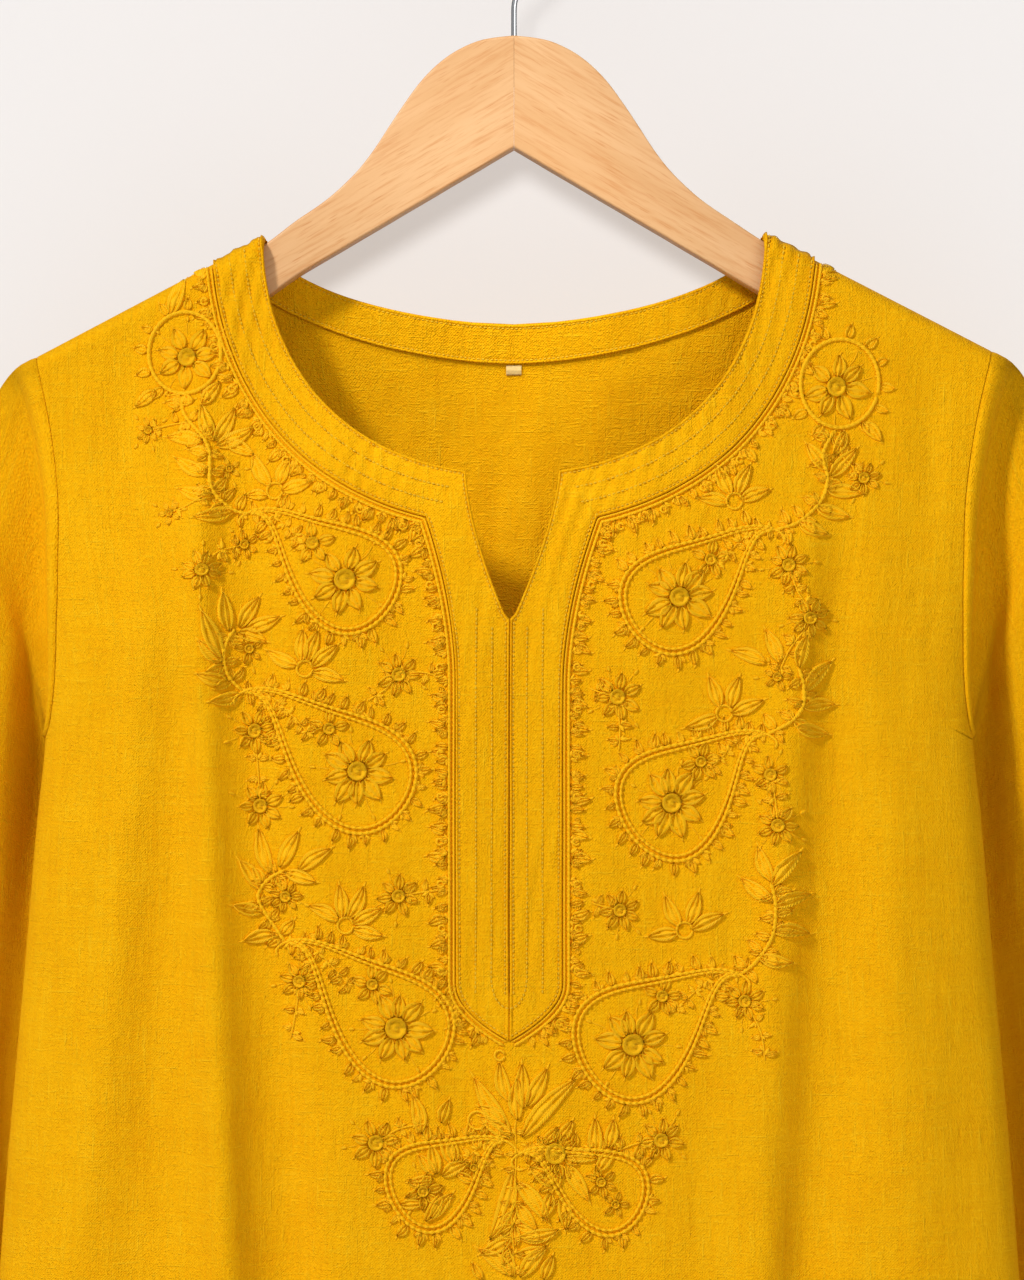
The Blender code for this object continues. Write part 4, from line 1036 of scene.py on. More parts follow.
# A leaf's section: places along and across it, and the shares of rim and field at those across.
LeafSection = namedtuple("LeafSection", "along across rim field")
WIDE_LEAF = LeafSection(np.array((0.0, 0.05, 0.2, 0.4, 0.62, 0.82, 0.95, 1.0)),
                        np.array((-1.0, -0.80, -0.50, -0.15, 0.0, 0.15, 0.50, 0.80, 1.0)),
                        np.array((0, 1, 0, 0, 0, 0, 0, 1, 0)), np.array((0, 0, 1, 1, 0, 1, 1, 0, 0)))
NARROW_LEAF = LeafSection(np.array((0.0, 0.08, 0.3, 0.6, 0.88, 1.0)), np.array((-1.0, -0.72, 0.0, 0.72, 1.0)),
                          np.array((0.0, 0.88, 0.0, 0.88, 0.0)), np.zeros(5))
NARROW = 2.1            # leaves under this width have the plainer section
KNOT_PLACE = 0.15       # share of the half width at which the knots beside the vein stand
FIELD_HEIGHT = -0.10    # a wide leaf's field lies just under the cloth, which shows inside its rim
FIELD_SHARE = 0.62      # height of a narrow leaf's field, a share of its rim
RIM_SHARE = 0.33        # highest rim, a share of the leaf's width
VEIN_KNOT = 0.42        # height of the knots beside the vein, a share of the vein
LEAF_FOOT, LEAF_BELLY, LEAF_POINT = 0.05, 0.82, 0.85    # width at a leaf's ends, and its curve's powers
SOLID_WIDTH, SOLID_RUN, SOLID_RISE = 3.0, 0.9, 1.25     # under which width a leaf fills up, and its middle
BUTTON_OUT = np.array((0.08, 0.19, 0.29, 0.40, 0.60, 0.74, 0.86, 0.98, 1.07))
BUTTON_UP = np.array((1.05, 0.95, 0.62, 0.46, 0.44, 0.84, 0.98, 0.70, -0.4))
SPOKES = 0.22           # dips between the stitches that run across a button's hollow
BUTTON_AROUND = 12


def closed_shapes(place, up, run, across):
    """Like closed shapes from their places and heights; run and across are the thread's UV, in mm."""
    points = np.concatenate((place, up[..., None]), axis=-1).reshape(-1, 3)
    uv = np.stack([np.broadcast_to(part, up.shape) for part in (run, across)], axis=-1)
    return points, tube_faces(*up.shape), uv.reshape(-1, 2) * MM


def cord(path, width, height, bead=0.0, pitch=1.3, taper=1.6, step=0.75, start=0.0):
    """Cord along a path: a low arch across it, thinner at its two ends, that swells in beads."""
    path, at = along_path(path, step)
    ends = 0.25 + 0.75 * smooth_step(np.minimum(at, at[-1] - at) / taper)
    swell = (ends * (1 + bead * np.sin(2 * np.pi * at / pitch + start)))[:, None]
    place = path[:, None] + left_of(path)[:, None] * (CORD_ACROSS * width / 2 * swell)[..., None]
    up = CORD_UP * (height + SUNK) * swell - SUNK
    return closed_shapes(place[None], up[None], at[:, None], CORD_ACROSS * width)


def leaves(table):
    """Leaves and petals, wide and narrow ones apart, one for each row of the table."""
    narrow = table[:, 4] < NARROW
    return [leaf_shapes(table[~narrow], WIDE_LEAF), leaf_shapes(table[narrow], NARROW_LEAF)]


def leaf_shapes(table, section):
    """One leaf for each row of base, tip, width, bend, rim height and vein height.

    Half width is the sine of the run from base to tip, which comes to a point. Across a wide leaf, the
    rim stands up near the edge, the field is low, and a vein with small knots beside it stands along
    the middle. A narrow one is low and solid, and rises to its middle.
    """
    base, run = table[:, None, None, 0:2], (table[:, 2:4] - table[:, 0:2])[:, None, None]
    width, bend, rim, vein = table[:, 4:].T[..., None, None]
    length = np.linalg.norm(run, axis=-1)
    side = run[..., ::-1] * (-1, 1) / length[..., None]
    u, v = section.along[:, None], section.across
    half = width / 2 * (LEAF_FOOT + np.sin(np.pi * u ** LEAF_BELLY) ** LEAF_POINT)
    offset = bend * length * np.sin(np.pi * u) + half * v
    place = base + run * u[..., None] + side * offset[..., None]
    knot = VEIN_KNOT * (np.arange(len(u))[:, None] % 2) * (np.abs(v) == KNOT_PLACE)
    rim = np.minimum(rim, RIM_SHARE * width)
    solid = smooth_step((SOLID_WIDTH - width) / SOLID_RUN)
    field = FIELD_HEIGHT * (1 - solid) + FIELD_SHARE * rim * solid
    middle = np.maximum(rim * vein, SOLID_RISE * rim * solid)
    up = (rim * section.rim + field * section.field + middle * ((v == 0) + knot * (1 - solid))
          - SUNK * (np.abs(v) == 1))
    return closed_shapes(place, up, u * length, half * v * 1.6)


def buttons(table):
    """Flower centres and rings, one for each row of x, drop, radius and height: a knot in a ring."""
    table = np.asarray(table, float)
    angle = np.arange(BUTTON_AROUND) / BUTTON_AROUND * 2 * np.pi
    out = (table[:, 2:3] * BUTTON_OUT)[..., None]
    place = table[:, None, None, 0:2] + out[..., None] * np.column_stack((np.cos(angle), np.sin(angle)))
    up = np.where(BUTTON_UP < 0, -SUNK, BUTTON_UP * table[:, 3:])
    up = np.repeat(up[..., None], BUTTON_AROUND, axis=2)
    up[:, 3:5, ::2] -= SPOKES * table[:, 3, None, None]
    return closed_shapes(place, up, angle * out, out)


def sew(name, parts, material, side=FRONT):
    """Joins the parts into one piece and lays it on the cloth."""
    starts = np.cumsum([0] + [len(part[0]) for part in parts]).tolist()
    faces = [[start + corner for corner in face] for part, start in zip(parts, starts) for face in part[1]]
    x, drop, height = np.vstack([part[0] for part in parts]).T
    points = cloth_points(x, drop, side, height * np.where(height > 0, THREAD_RISE, 1.0))
    new_piece(name, points, faces, material, np.vstack([part[2] for part in parts]), turn="outwards")


def uneven(count, start):
    """Small even-handed irregularity between -1 and 1, the same on every run."""
    turn = (np.arange(count) + 1) * 12.9898 + start * 78.233
    return 2 * np.modf(np.abs(np.sin(turn) * 43758.5453))[0] - 1


# ---- needlework: its motifs
PAISLEYS = rows_of(
    "tip_x tip_drop far_x far_drop width",
    (-112.5, 118.5, -52, 158.5, 42), (-113.5, 195, -45.5, 243.5, 45), (-95, 301.5, -30, 351.5, 45),
    (112.5, 126, 52.5, 167.5, 42), (109.5, 213, 52, 254, 46), (98, 315, 33, 355, 48),
    (-1.5, 385.5, -48, 412, 36), (5.5, 390.5, 56, 413.5, 33))
PAISLEY_BEND = 0.065        # sideways bow of a paisley's axis, a share of its length
ROPE_GAP, ROPE_GAP_TIP = 1.15, 0.55     # half the gap between its two cords, at the head and at the tip
HEAD_FLOWERS = rows_of(
    "x drop reach petals centre",
    (-70.5, 147, 14.4, 8, 4.7), (-64.5, 228.5, 14.9, 9, 4.2), (-48, 337.5, 14.9, 9, 4.7),
    (72, 154.5, 14.9, 9, 4.2), (69, 242, 14.9, 9, 4.2), (52.5, 344.5, 15.3, 9, 4.7),
    (-36.5, 406.5, 8.4, 6, 2.4), (19.5, 390.5, 10.6, 7, 4.6), (-141, 52.5, 13.2, 7, 4),
    (139, 66, 14, 7, 4.2))
NECK_FLOWERS = rows_of(
    "x drop reach petals centre",
    (-84.5, 131.5, 9.4, 5, 2.7), (-76.5, 210.5, 8.8, 5, 2.6), (-58, 319, 8.8, 6, 2.5),
    (85, 138.5, 8.6, 5, 2.5), (81.5, 224.5, 8.4, 6, 2.4), (65, 324, 8.8, 5, 2.6), (39, 402.5, 7.2, 6, 2.2),
    (-15, 396.5, 5.6, 5, 1.7), (45, 412, 6, 5, 1.9))
STAR_FLOWERS = rows_of(
    "x drop reach petals centre",
    (-157, 83.5, 5.5, 7, 1.8), (-146.5, 118.5, 5.1, 5, 1.7), (-131.5, 143, 8.1, 8, 2.7),
    (-114, 132, 6.4, 6, 2.1), (-121.5, 99.5, 5.1, 5, 1.7), (-111, 176.5, 6.4, 5, 2.1),
    (-108.5, 211.5, 9.3, 7, 3.1), (-47, 187.5, 9.3, 7, 3.1), (-106, 243.5, 9.8, 7, 3.2),
    (-95, 282, 7.2, 7, 2.4), (-47, 281.5, 8.9, 7, 2.9), (-56.5, 386, 10.2, 7, 3.4),
    (64.5, 385, 9.3, 7, 3.1), (151, 104, 7.2, 7, 2.4), (118.5, 141, 8.9, 8, 2.9),
    (127.5, 163.5, 8.5, 7, 2.8), (114, 188.5, 6, 5, 2), (46, 197, 10.2, 7, 3.4), (114, 251.5, 8.9, 7, 2.9),
    (47, 287.5, 8.5, 7, 2.8), (111, 230, 8.1, 6, 2.7), (100, 326, 8.5, 7, 2.8), (-89, 318, 8.1, 7, 2.7))
RINGS = rows_of(
    "x drop half_width half_height",
    (-142, 50.5, 15.7, 17.4), (140.5, 64.5, 17, 18.3))
LOOPS = rows_of(
    "x drop radius",
    (-101.5, 109, 3.4), (-87, 185, 3.4), (-69.5, 294, 3.4), (95, 113.5, 3.4), (91.5, 204, 3.4),
    (74.5, 296, 3.4), (-13.5, 376.5, 3.8), (-4, 349, 2.1))
# Stems run through places on the cloth, as (x, drop). The first of them are thick.
STEMS = (
    ((-142.5, 68.5), (-141.5, 76.5), (-131, 90), (-129, 107.5), (-120.5, 116.5), (-112.5, 119)),
    ((-113.5, 195), (-120, 188), (-122, 179.5), (-120.5, 173), (-117, 167.5)),
    ((-95, 301.5), (-106, 285.5), (-106, 279), (-101.5, 274), (-95, 270.5)),
    ((112.5, 126), (122.5, 122.5), (132, 113.5), (135, 104), (133, 94), (138, 83.5)),
    ((109.5, 213), (119.5, 207.5), (124.5, 201), (125, 193), (123, 184.5)),
    ((98, 315), (105, 309), (111.5, 298.5), (113, 285.5), (111, 275)),
    ((-157, 83.5), (-146.5, 81), (-138.5, 80)), ((-146.5, 118.5), (-139, 115.5), (-130, 110)),
    ((-131.5, 143), (-125.5, 135.5), (-114, 132)), ((-47, 187.5), (-38, 186.5), (-30, 188)),
    ((-47, 187.5), (-53, 194), (-61, 199)), ((-47, 281.5), (-38, 280), (-29.5, 279)),
    ((46, 197), (38.5, 195), (33.5, 193)), ((46, 197), (47, 211), (46.5, 220.5)),
    ((47, 287.5), (38.5, 285.5), (34.5, 284)), ((151, 104), (144, 97), (138, 91.5)),
    ((118.5, 141), (122, 151.5), (127.5, 163.5), (119, 177), (114, 188.5)),
    ((-108.5, 211.5), (-107, 228), (-106, 243.5)), ((111, 230), (113, 241), (114, 251.5)),
    ((-56.5, 386), (-46.5, 380), (-33.5, 377.5)), ((64.5, 385), (55.5, 386), (45, 389.5)),
    ((100, 326), (106.5, 338.5), (108.5, 351.5)), ((-89, 318), (-90.5, 330), (-93, 343)),
    ((3, 387), (2.5, 380), (3, 376)), ((-1.5, 385.5), (-8, 380), (-13.5, 376.5)),
    ((5.5, 390.5), (12.5, 389.5), (15.5, 389.5)), ((3, 387), (2.5, 402), (1, 417), (2, 432), (1.5, 443)))
THICK_STEMS = 6
# Leaves go from their base to their tip, as (x, drop, x, drop).
LEAVES = (
    (-148.5, 34.5, -143, 21.5), (-128.5, 88, -133.5, 74.5), (-128.5, 88, -121, 75.5),
    (-127.5, 90, -113.5, 83), (-133, 88, -147, 86.5), (-131.5, 102.5, -143, 96), (-128.5, 111, -141, 108.5),
    (-119, 117.5, -133.5, 120), (-103.5, 107, -110.5, 94.5), (-100, 106.5, -96, 96.5),
    (-98.5, 109, -87, 105.5), (-104.5, 111, -113, 111), (-120, 169, -122.5, 154.5),
    (-115.5, 167.5, -108, 156), (-112.5, 168, -99.5, 163.5), (-123, 180.5, -130, 163),
    (-123, 182.5, -131, 174), (-120.5, 190, -131, 187.5), (-114.5, 196, -125.5, 198.5),
    (-90, 183.5, -101.5, 178), (-88.5, 182, -88, 170), (-86, 182, -82, 170.5), (-84, 184, -74.5, 176),
    (-84, 186.5, -72, 189.5), (-102, 272, -106, 255.5), (-97.5, 269.5, -90.5, 256),
    (-89.5, 270.5, -77.5, 262.5), (-106.5, 279, -114, 268), (-72.5, 292, -83.5, 286.5),
    (-71, 291, -72, 278.5), (-68.5, 291, -62.5, 279), (-66.5, 293, -55.5, 287.5), (-66.5, 295.5, -55, 298),
    (-105, 288.5, -116, 286), (-99.5, 298, -111.5, 300.5), (123, 184.5, 126, 172.5),
    (125.5, 194.5, 136, 183.5), (125, 201.5, 137.5, 200.5), (122, 209.5, 134.5, 212.5),
    (109, 182.5, 96, 178), (115, 182.5, 109.5, 170), (93.5, 111, 87.5, 99.5), (96, 111, 101, 99.5),
    (97.5, 113, 108.5, 109), (92.5, 114, 81, 112.5), (89.5, 201.5, 85.5, 190), (94, 201.5, 97.5, 190),
    (94.5, 204, 106.5, 199), (89, 205, 76.5, 209.5), (72.5, 294.5, 67, 283), (76, 293.5, 80, 281.5),
    (77.5, 295.5, 89.5, 290), (72, 297, 60.5, 298.5), (134.5, 100.5, 127, 90.5), (136, 103, 146.5, 93),
    (135, 109, 148.5, 110), (130, 116, 143, 119.5), (122.5, 122.5, 133.5, 127), (111.5, 275, 106.5, 262),
    (111.5, 277, 122, 264.5), (112.5, 285.5, 126, 281.5), (111.5, 296, 125.5, 297.5),
    (106, 307, 118.5, 309.5), (111.5, 283.5, 100, 275), (-137.5, 71, -147, 69), (-134, 72.5, -127.5, 64),
    (143, 84.5, 138, 93), (150.5, 81, 157.5, 88), (-154.5, 66.5, -162, 72.5), (0.5, 383.5, -13, 361.5),
    (-1.5, 377.5, -11.5, 371.5), (0, 368.5, -3.5, 354), (3.5, 376.5, 3.5, 361), (6, 371.5, 5.5, 355),
    (7.5, 370.5, 15, 356.5), (5.5, 383.5, 25.5, 362), (-37.5, 382, -40.5, 367.5), (-29, 377.5, -26, 369),
    (1.5, 398, -7, 423.5), (3.5, 402.5, 15, 417.5), (2.5, 414.5, -2.5, 423.5), (3.5, 412, 10.5, 421),
    (1.5, 383.5, -10.5, 376), (19, 404.5, 10, 397), (17.5, 407, 14.5, 416.5), (22, 408.5, 23.5, 421),
    (24, 395, 32.5, 408.5), (21, 398, 20, 405), (24, 391.5, 36, 392.5), (37.5, 398, 43.5, 389.5),
    (36.5, 391.5, 36.5, 377.5), (42, 388, 44, 377.5), (14.5, 386, 20, 380), (20.5, 385, 26, 377.5),
    (-31.5, 399.5, -37.5, 392), (-30.5, 399, -33, 388), (-24.5, 395, -28.5, 383.5),
    (-22.5, 394, -25, 384.5), (-28.5, 400, -18.5, 395), (-32, 401.5, -41.5, 402.5),
    (-33, 403.5, -41.5, 408.5), (-46, 412, -37.5, 411.5), (-35.5, 419, -29.5, 408.5),
    (-33, 418, -25, 408.5), (-14, 396.5, -8, 393), (-15, 402.5, -21.5, 399), (-12, 391.5, -9.5, 398),
    (2, 421, -7, 426), (3, 421, 13, 426), (1, 426, -10.5, 432), (4.5, 426, 19, 423),
    (1.5, 430.5, -2.5, 436.5), (3, 429.5, 2.5, 421), (3.5, 433, 14.5, 430.5), (1.5, 441.5, -11.5, 432),
    (1.5, 442.5, -1, 430.5), (4.5, 442.5, 14.5, 430.5), (14.5, 443.5, 18, 434.5),
    (-11.5, 443.5, -15, 437.5), (-116, 169.5, -105, 173), (-95, 271.5, -83.5, 275),
    (-123.5, 88, -112.5, 93))
LEAF_REACH = 0.14           # they are longer than in the table by this share
BUD_TURNS = (0.95, -0.95, -0.80)    # turns of the small leaves beside a sprig
EDGE_STEP = 0.4             # step of the places read along an edge

# The cords, and the spacing, offset and length of the sprigs beside them.
ROPE = dict(bead=0.24, pitch=2.8, step=0.62)
OUTER_ROPE = dict(width=1.75, height=1.25, **ROPE)
INNER_ROPE = dict(width=1.45, height=1.10, start=np.pi, **ROPE)
SPINE = dict(width=0.8, height=0.6, step=1.0)
CURL = dict(width=1.4, height=0.95, bead=0.1, step=0.8)
TENDRIL = dict(width=0.70, height=0.42, step=1.1)
RING_CORD = dict(width=2.1, height=1.25, bead=0.12, pitch=2.6, step=0.7)
LOOP_CORD = dict(width=1.3, height=0.95, step=0.7, taper=0.6)
THICK_STEM, THIN_STEM = dict(width=1.9, height=1.2, bead=0.18, pitch=2.5), dict(width=0.95, height=0.7)
BORDER = dict(pitch=2.4, taper=1.0, step=0.7)
BORDER_CORDS = ((0.8, dict(width=1.15, height=0.95, **BORDER)),
                (2.7, dict(width=1.5, height=1.15, bead=0.16, **BORDER)))
ROPE_SPRIGS, SPINE_SPRIGS = (6.1, 0.6, 5.4), ((4.4, 0.0, 4.6), (5.2, 0.0, 4.2))
BORDER_SPRIGS, BORDER_TALL_SPRIGS = (5.6, 0.2, 5.0), (11.0, 1.2, 6.4)
THICK_STEM_SPRIGS, THIN_STEM_SPRIGS = (8.0, 0.5, 6.6), (6.5, 0.5, 4.2)
RING_BUDS = (8.2, 0.8, 5.6, 4.0, 0.9)       # spacing, offset, length, width and rim
SPRIGS_OUT, LOOPS_OUT = 3.2, 6.3            # distances of the border's sprigs and loops
LOOPS_EVERY = 37                            # points of the border's line from one loop to the next
LOOP_RADIUS = 1.35
# Ends of leaf rows: width, bend, rim and vein. Petals have their own width and bend.
PETAL_HAIR, SPRIG_HAIR, LEAF_HAIR = (0.9, 0.0, 0.7, 1.0), (0.95, 0.0, 0.7, 1.0), (1.1, 0.0, 0.7, 1.0)
TENDRIL_BUD, TENDRIL_BUD_LENGTH = (1.6, 0.0, 0.55, 0.9), 2.6
TENDRIL_STOPS = (0.72, 0.98, 1.22)          # shares of the petals' reach
PETAL_WIDTH, PETAL_ROOM = 0.72, 1.28        # share of its length, or of the room round the centre
PETAL_VEIN, LEAF_RIM, LEAF_VEIN, BUD_VEIN = 0.75, 1.15, 0.8, 0.3
LEAF_WIDTHS = (4.0, 12.0, 26.0), (2.3, 6.2, 8.2)    # lengths of leaves, and their widths
BORDER_KNOT = (1.2, 0.9)                    # radius and height
FLOWER_GROUPS = rows_of("flowers rim start hair", (HEAD_FLOWERS, 1.25, 0.2, True),
                        (NECK_FLOWERS, 1.05, 0.9, False), (STAR_FLOWERS, 1.10, 1.7, True))


def paisley_outline(paisley, steps=150):
    """Teardrop round a bowed axis.

    With angle a from 0 to a full turn, the run u along the axis is sin(a/2) squared, and the offset is
    the half width times sin(a/2) cubed times cos(a/2). The axis bows upwards near its tip, by a
    share of its length times 17.6 u (1 - u)^6.
    """
    tip = np.array((paisley.tip_x, paisley.tip_drop))
    run = np.array((paisley.far_x, paisley.far_drop)) - tip
    length = np.linalg.norm(run)
    up = run[::-1] * (1, -1) / length
    if up[1] > 0:
        up = -up
    angle = np.linspace(0.0, 2 * np.pi, steps)
    u = np.sin(angle / 2) ** 2
    spread = np.sin(angle / 2) ** 3 * np.cos(angle / 2)
    bow = PAISLEY_BEND * length * 17.6 * u * (1 - u) ** 6
    return tip + run * u[:, None] + up * (spread / spread.max() * paisley.width / 2 + bow)[:, None], u


def oval(centre, half_width, half_height, steps, start=0.0):
    """Ellipse round a place."""
    angle = np.linspace(start, start + 2 * np.pi, steps)
    return np.column_stack((centre.x + half_width * np.cos(angle), centre.drop + half_height * np.sin(angle)))


def loop_parts(loop):
    """Small ring of plain cord."""
    return cord(oval(loop, loop.radius, loop.radius, 26), **LOOP_CORD)


def leaf_row(base, out, length, width, bend, rim, vein=LEAF_VEIN):
    """Rows of leaves from their bases, directions, lengths and widths."""
    columns = [np.broadcast_to(value, len(base)) for value in (width, bend, rim, vein)]
    return np.column_stack((base, base + out * np.broadcast_to(length, len(base))[:, None], *columns))


def turned(out, angle):
    """Directions turned by an angle, one each."""
    angle = np.broadcast_to(angle, len(out))
    cos, sin = np.cos(angle), np.sin(angle)
    return np.column_stack((out[:, 0] * cos - out[:, 1] * sin, out[:, 0] * sin + out[:, 1] * cos))


def flower_parts(flower, start, rim, hair):
    """Petals, centre and the fine tendrils between the petals: leaf rows, a button row and cords."""
    wobble = uneven(flower.petals, start)
    turn = np.arange(flower.petals) / flower.petals * 2 * np.pi + start + 0.10 * wobble
    reach = flower.reach * (1 + 0.07 * uneven(flower.petals, start + 2.0))
    ray = np.column_stack((np.cos(turn), np.sin(turn)))
    middle = np.array((flower.x, flower.drop))
    base, tip = middle + ray * flower.centre * 0.98, middle + ray * reach[:, None]
    length = reach - flower.centre
    room = PETAL_ROOM * 2 * np.pi / flower.petals * (flower.centre + 0.5 * length)
    width = np.minimum(PETAL_WIDTH * length, room)
    rows = [leaf_row(base, tip - base, 1.0, width, 0.06 * wobble, rim, PETAL_VEIN),
            leaf_row(tip - ray * 0.4, turned(ray, 0.5 * wobble), 0.16 * reach, *PETAL_HAIR)]
    cords = []
    for k in range(0, flower.petals if hair else 0, 2):
        between = turn[k] + np.pi / flower.petals
        out = np.array((np.cos(between), np.sin(between)))
        path = middle + np.outer(TENDRIL_STOPS + np.array((0.0, 0.0, 0.12 * wobble[k])), out * flower.reach)
        path[1] += out[::-1] * (-1, 1) * 0.06 * flower.reach * wobble[k]
        cords.append(cord(path, **TENDRIL))
        rows.append(leaf_row(path[-1:], out, TENDRIL_BUD_LENGTH, *TENDRIL_BUD))
    return np.vstack(rows), (flower.x, flower.drop, flower.centre, rim * 1.25), cords


def edge_sprigs(path, spacing, offset, length, hand, start):
    """Uneven small leaves along a path: single buds, pairs and threes in turn, each with a fine tip."""
    path, at = along_path(path, EDGE_STEP)
    count = max(int(at[-1] / spacing), 1)
    wobble, size, tilt = (uneven(count, start + k * 3.7) for k in range(3))
    stops = (np.arange(count) + 0.5 + 0.16 * wobble) * at[-1] / count
    out = turned(read(left_of(path) * hand, at, stops), 0.35 * tilt)
    base = read(path, at, stops) + out * offset
    reach = length * (1 + 0.22 * size)
    kind = (np.arange(count) + int(start)) % 3
    rows = [leaf_row(base, out, reach, (0.66 - 0.14 * (kind == 2)) * reach, 0.10 * wobble, 1.0),
            leaf_row(base + out * (reach * 0.96)[:, None], turned(out, 0.6 * wobble), 0.30 * reach,
                     *SPRIG_HAIR)]
    for turn, these in zip(BUD_TURNS, (kind == 1, kind == 1, kind == 2)):
        rows.append(leaf_row(base[these], turned(out[these], turn + 0.2 * tilt[these]), 0.68 * reach[these],
                             0.40 * reach[these], 0.0, 0.85))
    return np.vstack(rows)


def edge_buds(path, spacing, offset, length, width, rim, hand):
    """Pointed buds along a path, each pointing nearly straight away from it, with a hair at its tip."""
    path, at = along_path(path, EDGE_STEP)
    count = int(at[-1] / spacing)
    stops = (np.arange(count) + 0.5) * at[-1] / count
    wobble, size = uneven(count, spacing), uneven(count, spacing + 4.0)
    out = read(left_of(path) * hand, at, stops)
    base = read(path, at, stops) + out * offset
    out = out + 0.22 * wobble[:, None] * out[:, ::-1] * (-1, 1)
    reach = length * (1 + 0.16 * size)
    return np.vstack((
        leaf_row(base, out, reach, width * (1 + 0.15 * wobble), 0.08 * size, rim, BUD_VEIN),
        leaf_row(base + out * (reach - 0.6)[:, None], out, 1.8, SPRIG_HAIR[0], 0.0, rim * 0.75, 1.0)))


def paisley_parts(paisley, number):
    """Two cords, fine and beaded, that meet at the tip, with sprigs round the outer one and inside."""
    outline, u = paisley_outline(paisley)
    normal = left_of(outline)
    hand = np.sign(((outline - outline.mean(axis=0)) * normal).sum())
    gap = normal * hand * (ROPE_GAP_TIP + (ROPE_GAP - ROPE_GAP_TIP) * smooth_step(u / 0.7))[:, None]
    outer = outline + gap
    spine = np.array([outline[2], (outline[18] + outline[-18]) / 2, (outline[34] + outline[-34]) / 2])
    low = outline[-1] + (outline[-12] - outline[-1]) * 0.2
    away = np.array((np.sign(paisley.tip_x - paisley.far_x), 0.0))
    curl = [outline[-16], outline[-9], low + away * 1.5, low + away * 5.0 + (0, 3.0),
            low + away * 4.2 + (0, 6.5)]
    parts = [cord(outer, **OUTER_ROPE), cord(outline - gap, **INNER_ROPE), cord(spine, **SPINE),
             cord(curl, **CURL)]
    rows = [edge_sprigs(outer[u > 0.08], *ROPE_SPRIGS, hand, number),
            edge_sprigs(spine, *SPINE_SPRIGS[0], 1.0, number + 2),
            edge_sprigs(spine, *SPINE_SPRIGS[1], -1.0, number + 3)]
    return parts, np.vstack(rows)


def ring_parts(ring):
    """Oval cord with buds all round."""
    line = oval(ring, ring.half_width, ring.half_height, 90, 0.3)
    return [cord(line, **RING_CORD)], edge_buds(line, *RING_BUDS, -1.0)


def edge_line(runs, below):
    """Runs of an edge of the band as one line, from a little below the shoulder line."""
    line = along_path(np.vstack(runs), 0.5)[0]
    return line[(line[:, 1] - shoulder_drop(line[:, 0])) > below]


def offset_line(line, distance):
    """Line at a distance outside another one on +X, smoothed a little round its corners."""
    normal = left_of(line)
    moved = line + normal * distance * np.sign(normal[:, 0].sum())
    padded = np.pad(moved, ((4, 4), (0, 0)), mode="edge")
    return np.column_stack([np.convolve(column, np.ones(9) / 9, mode="valid") for column in padded.T])


def border_parts():
    """Two cords outside the band and placket, with sprigs, small loops and knots along them."""
    line = edge_line(band_outer_line(120), 1.5)
    parts, rows, knots = [], [], []
    for mirror in ((-1, 1), (1, 1)):
        for distance, look in BORDER_CORDS:
            path = offset_line(line, distance)
            path[:, 0] = np.maximum(path[:, 0], 0.0)
            parts.append(cord(path * mirror, **look))
        path = offset_line(line, SPRIGS_OUT) * mirror
        outward = np.sign((left_of(path)[:, 0] * mirror[0]).sum())
        rows += [edge_sprigs(path[:-12], *BORDER_SPRIGS, outward, 1),
                 edge_sprigs(path[6:-12], *BORDER_TALL_SPRIGS, outward, 5)]
        far = offset_line(line, LOOPS_OUT) * mirror
        stops = far[30:-30:LOOPS_EVERY]
        stops = stops + 0.5 * np.column_stack((uneven(len(stops), 2.0), uneven(len(stops), 6.0)))
        loops = rows_of("x drop radius", *((x, drop, LOOP_RADIUS) for x, drop in stops))
        parts += [loop_parts(loop) for loop in loops]
        knots += [(x, drop, *BORDER_KNOT) for x, drop in far[12:-30:LOOPS_EVERY]]
    return parts, np.vstack(rows), knots


def make_needlework():
    """All the raised work of the front in four pieces: paisleys, border, flowers and vines."""
    work = [paisley_parts(paisley, number) for number, paisley in enumerate(PAISLEYS)]
    work += [ring_parts(ring) for ring in RINGS]
    cords = [part for parts, _ in work for part in parts]
    sew("paisley_cords", cords + leaves(np.vstack([rows for _, rows in work])), CORD_THREAD)

    parts, rows, knots = border_parts()
    sew("border_cords", parts + leaves(rows) + [buttons(knots)], CORD_THREAD)

    petals, centres, hairs = [], [], []
    for group in FLOWER_GROUPS:
        for number, flower in enumerate(group.flowers):
            rows, centre, cords = flower_parts(flower, group.start + number * 1.3, group.rim, group.hair)
            petals.append(rows)
            centres.append(centre)
            hairs += cords
    sew("sewn_flowers", hairs + leaves(np.vstack(petals)) + [buttons(centres)], SATIN_THREAD)

    vines, sprigs = [], []
    for number, path in enumerate(STEMS):
        thick = number < THICK_STEMS
        look, beside = (THICK_STEM, THICK_STEM_SPRIGS) if thick else (THIN_STEM, THIN_STEM_SPRIGS)
        vines.append(cord(path, **look))
        sprigs += [edge_sprigs(path, *beside, hand, number + hand) for hand in SIDES]
    vines += [loop_parts(loop) for loop in LOOPS]
    base, tip = np.hsplit(np.array(LEAVES, float), 2)
    tip = tip + LEAF_REACH * (tip - base)
    run, bend = tip - base, 0.07 * uneven(len(base), 5.0)
    width = np.interp(np.linalg.norm(run, axis=1), *LEAF_WIDTHS)
    rows = [leaf_row(base, run, 1.0, width, bend, LEAF_RIM),
            leaf_row(tip - run * 0.06, run, 0.20, *LEAF_HAIR)]
    sew("vines_and_leaves", vines + leaves(np.vstack(rows + sprigs)), CORD_THREAD)


make_needlework()


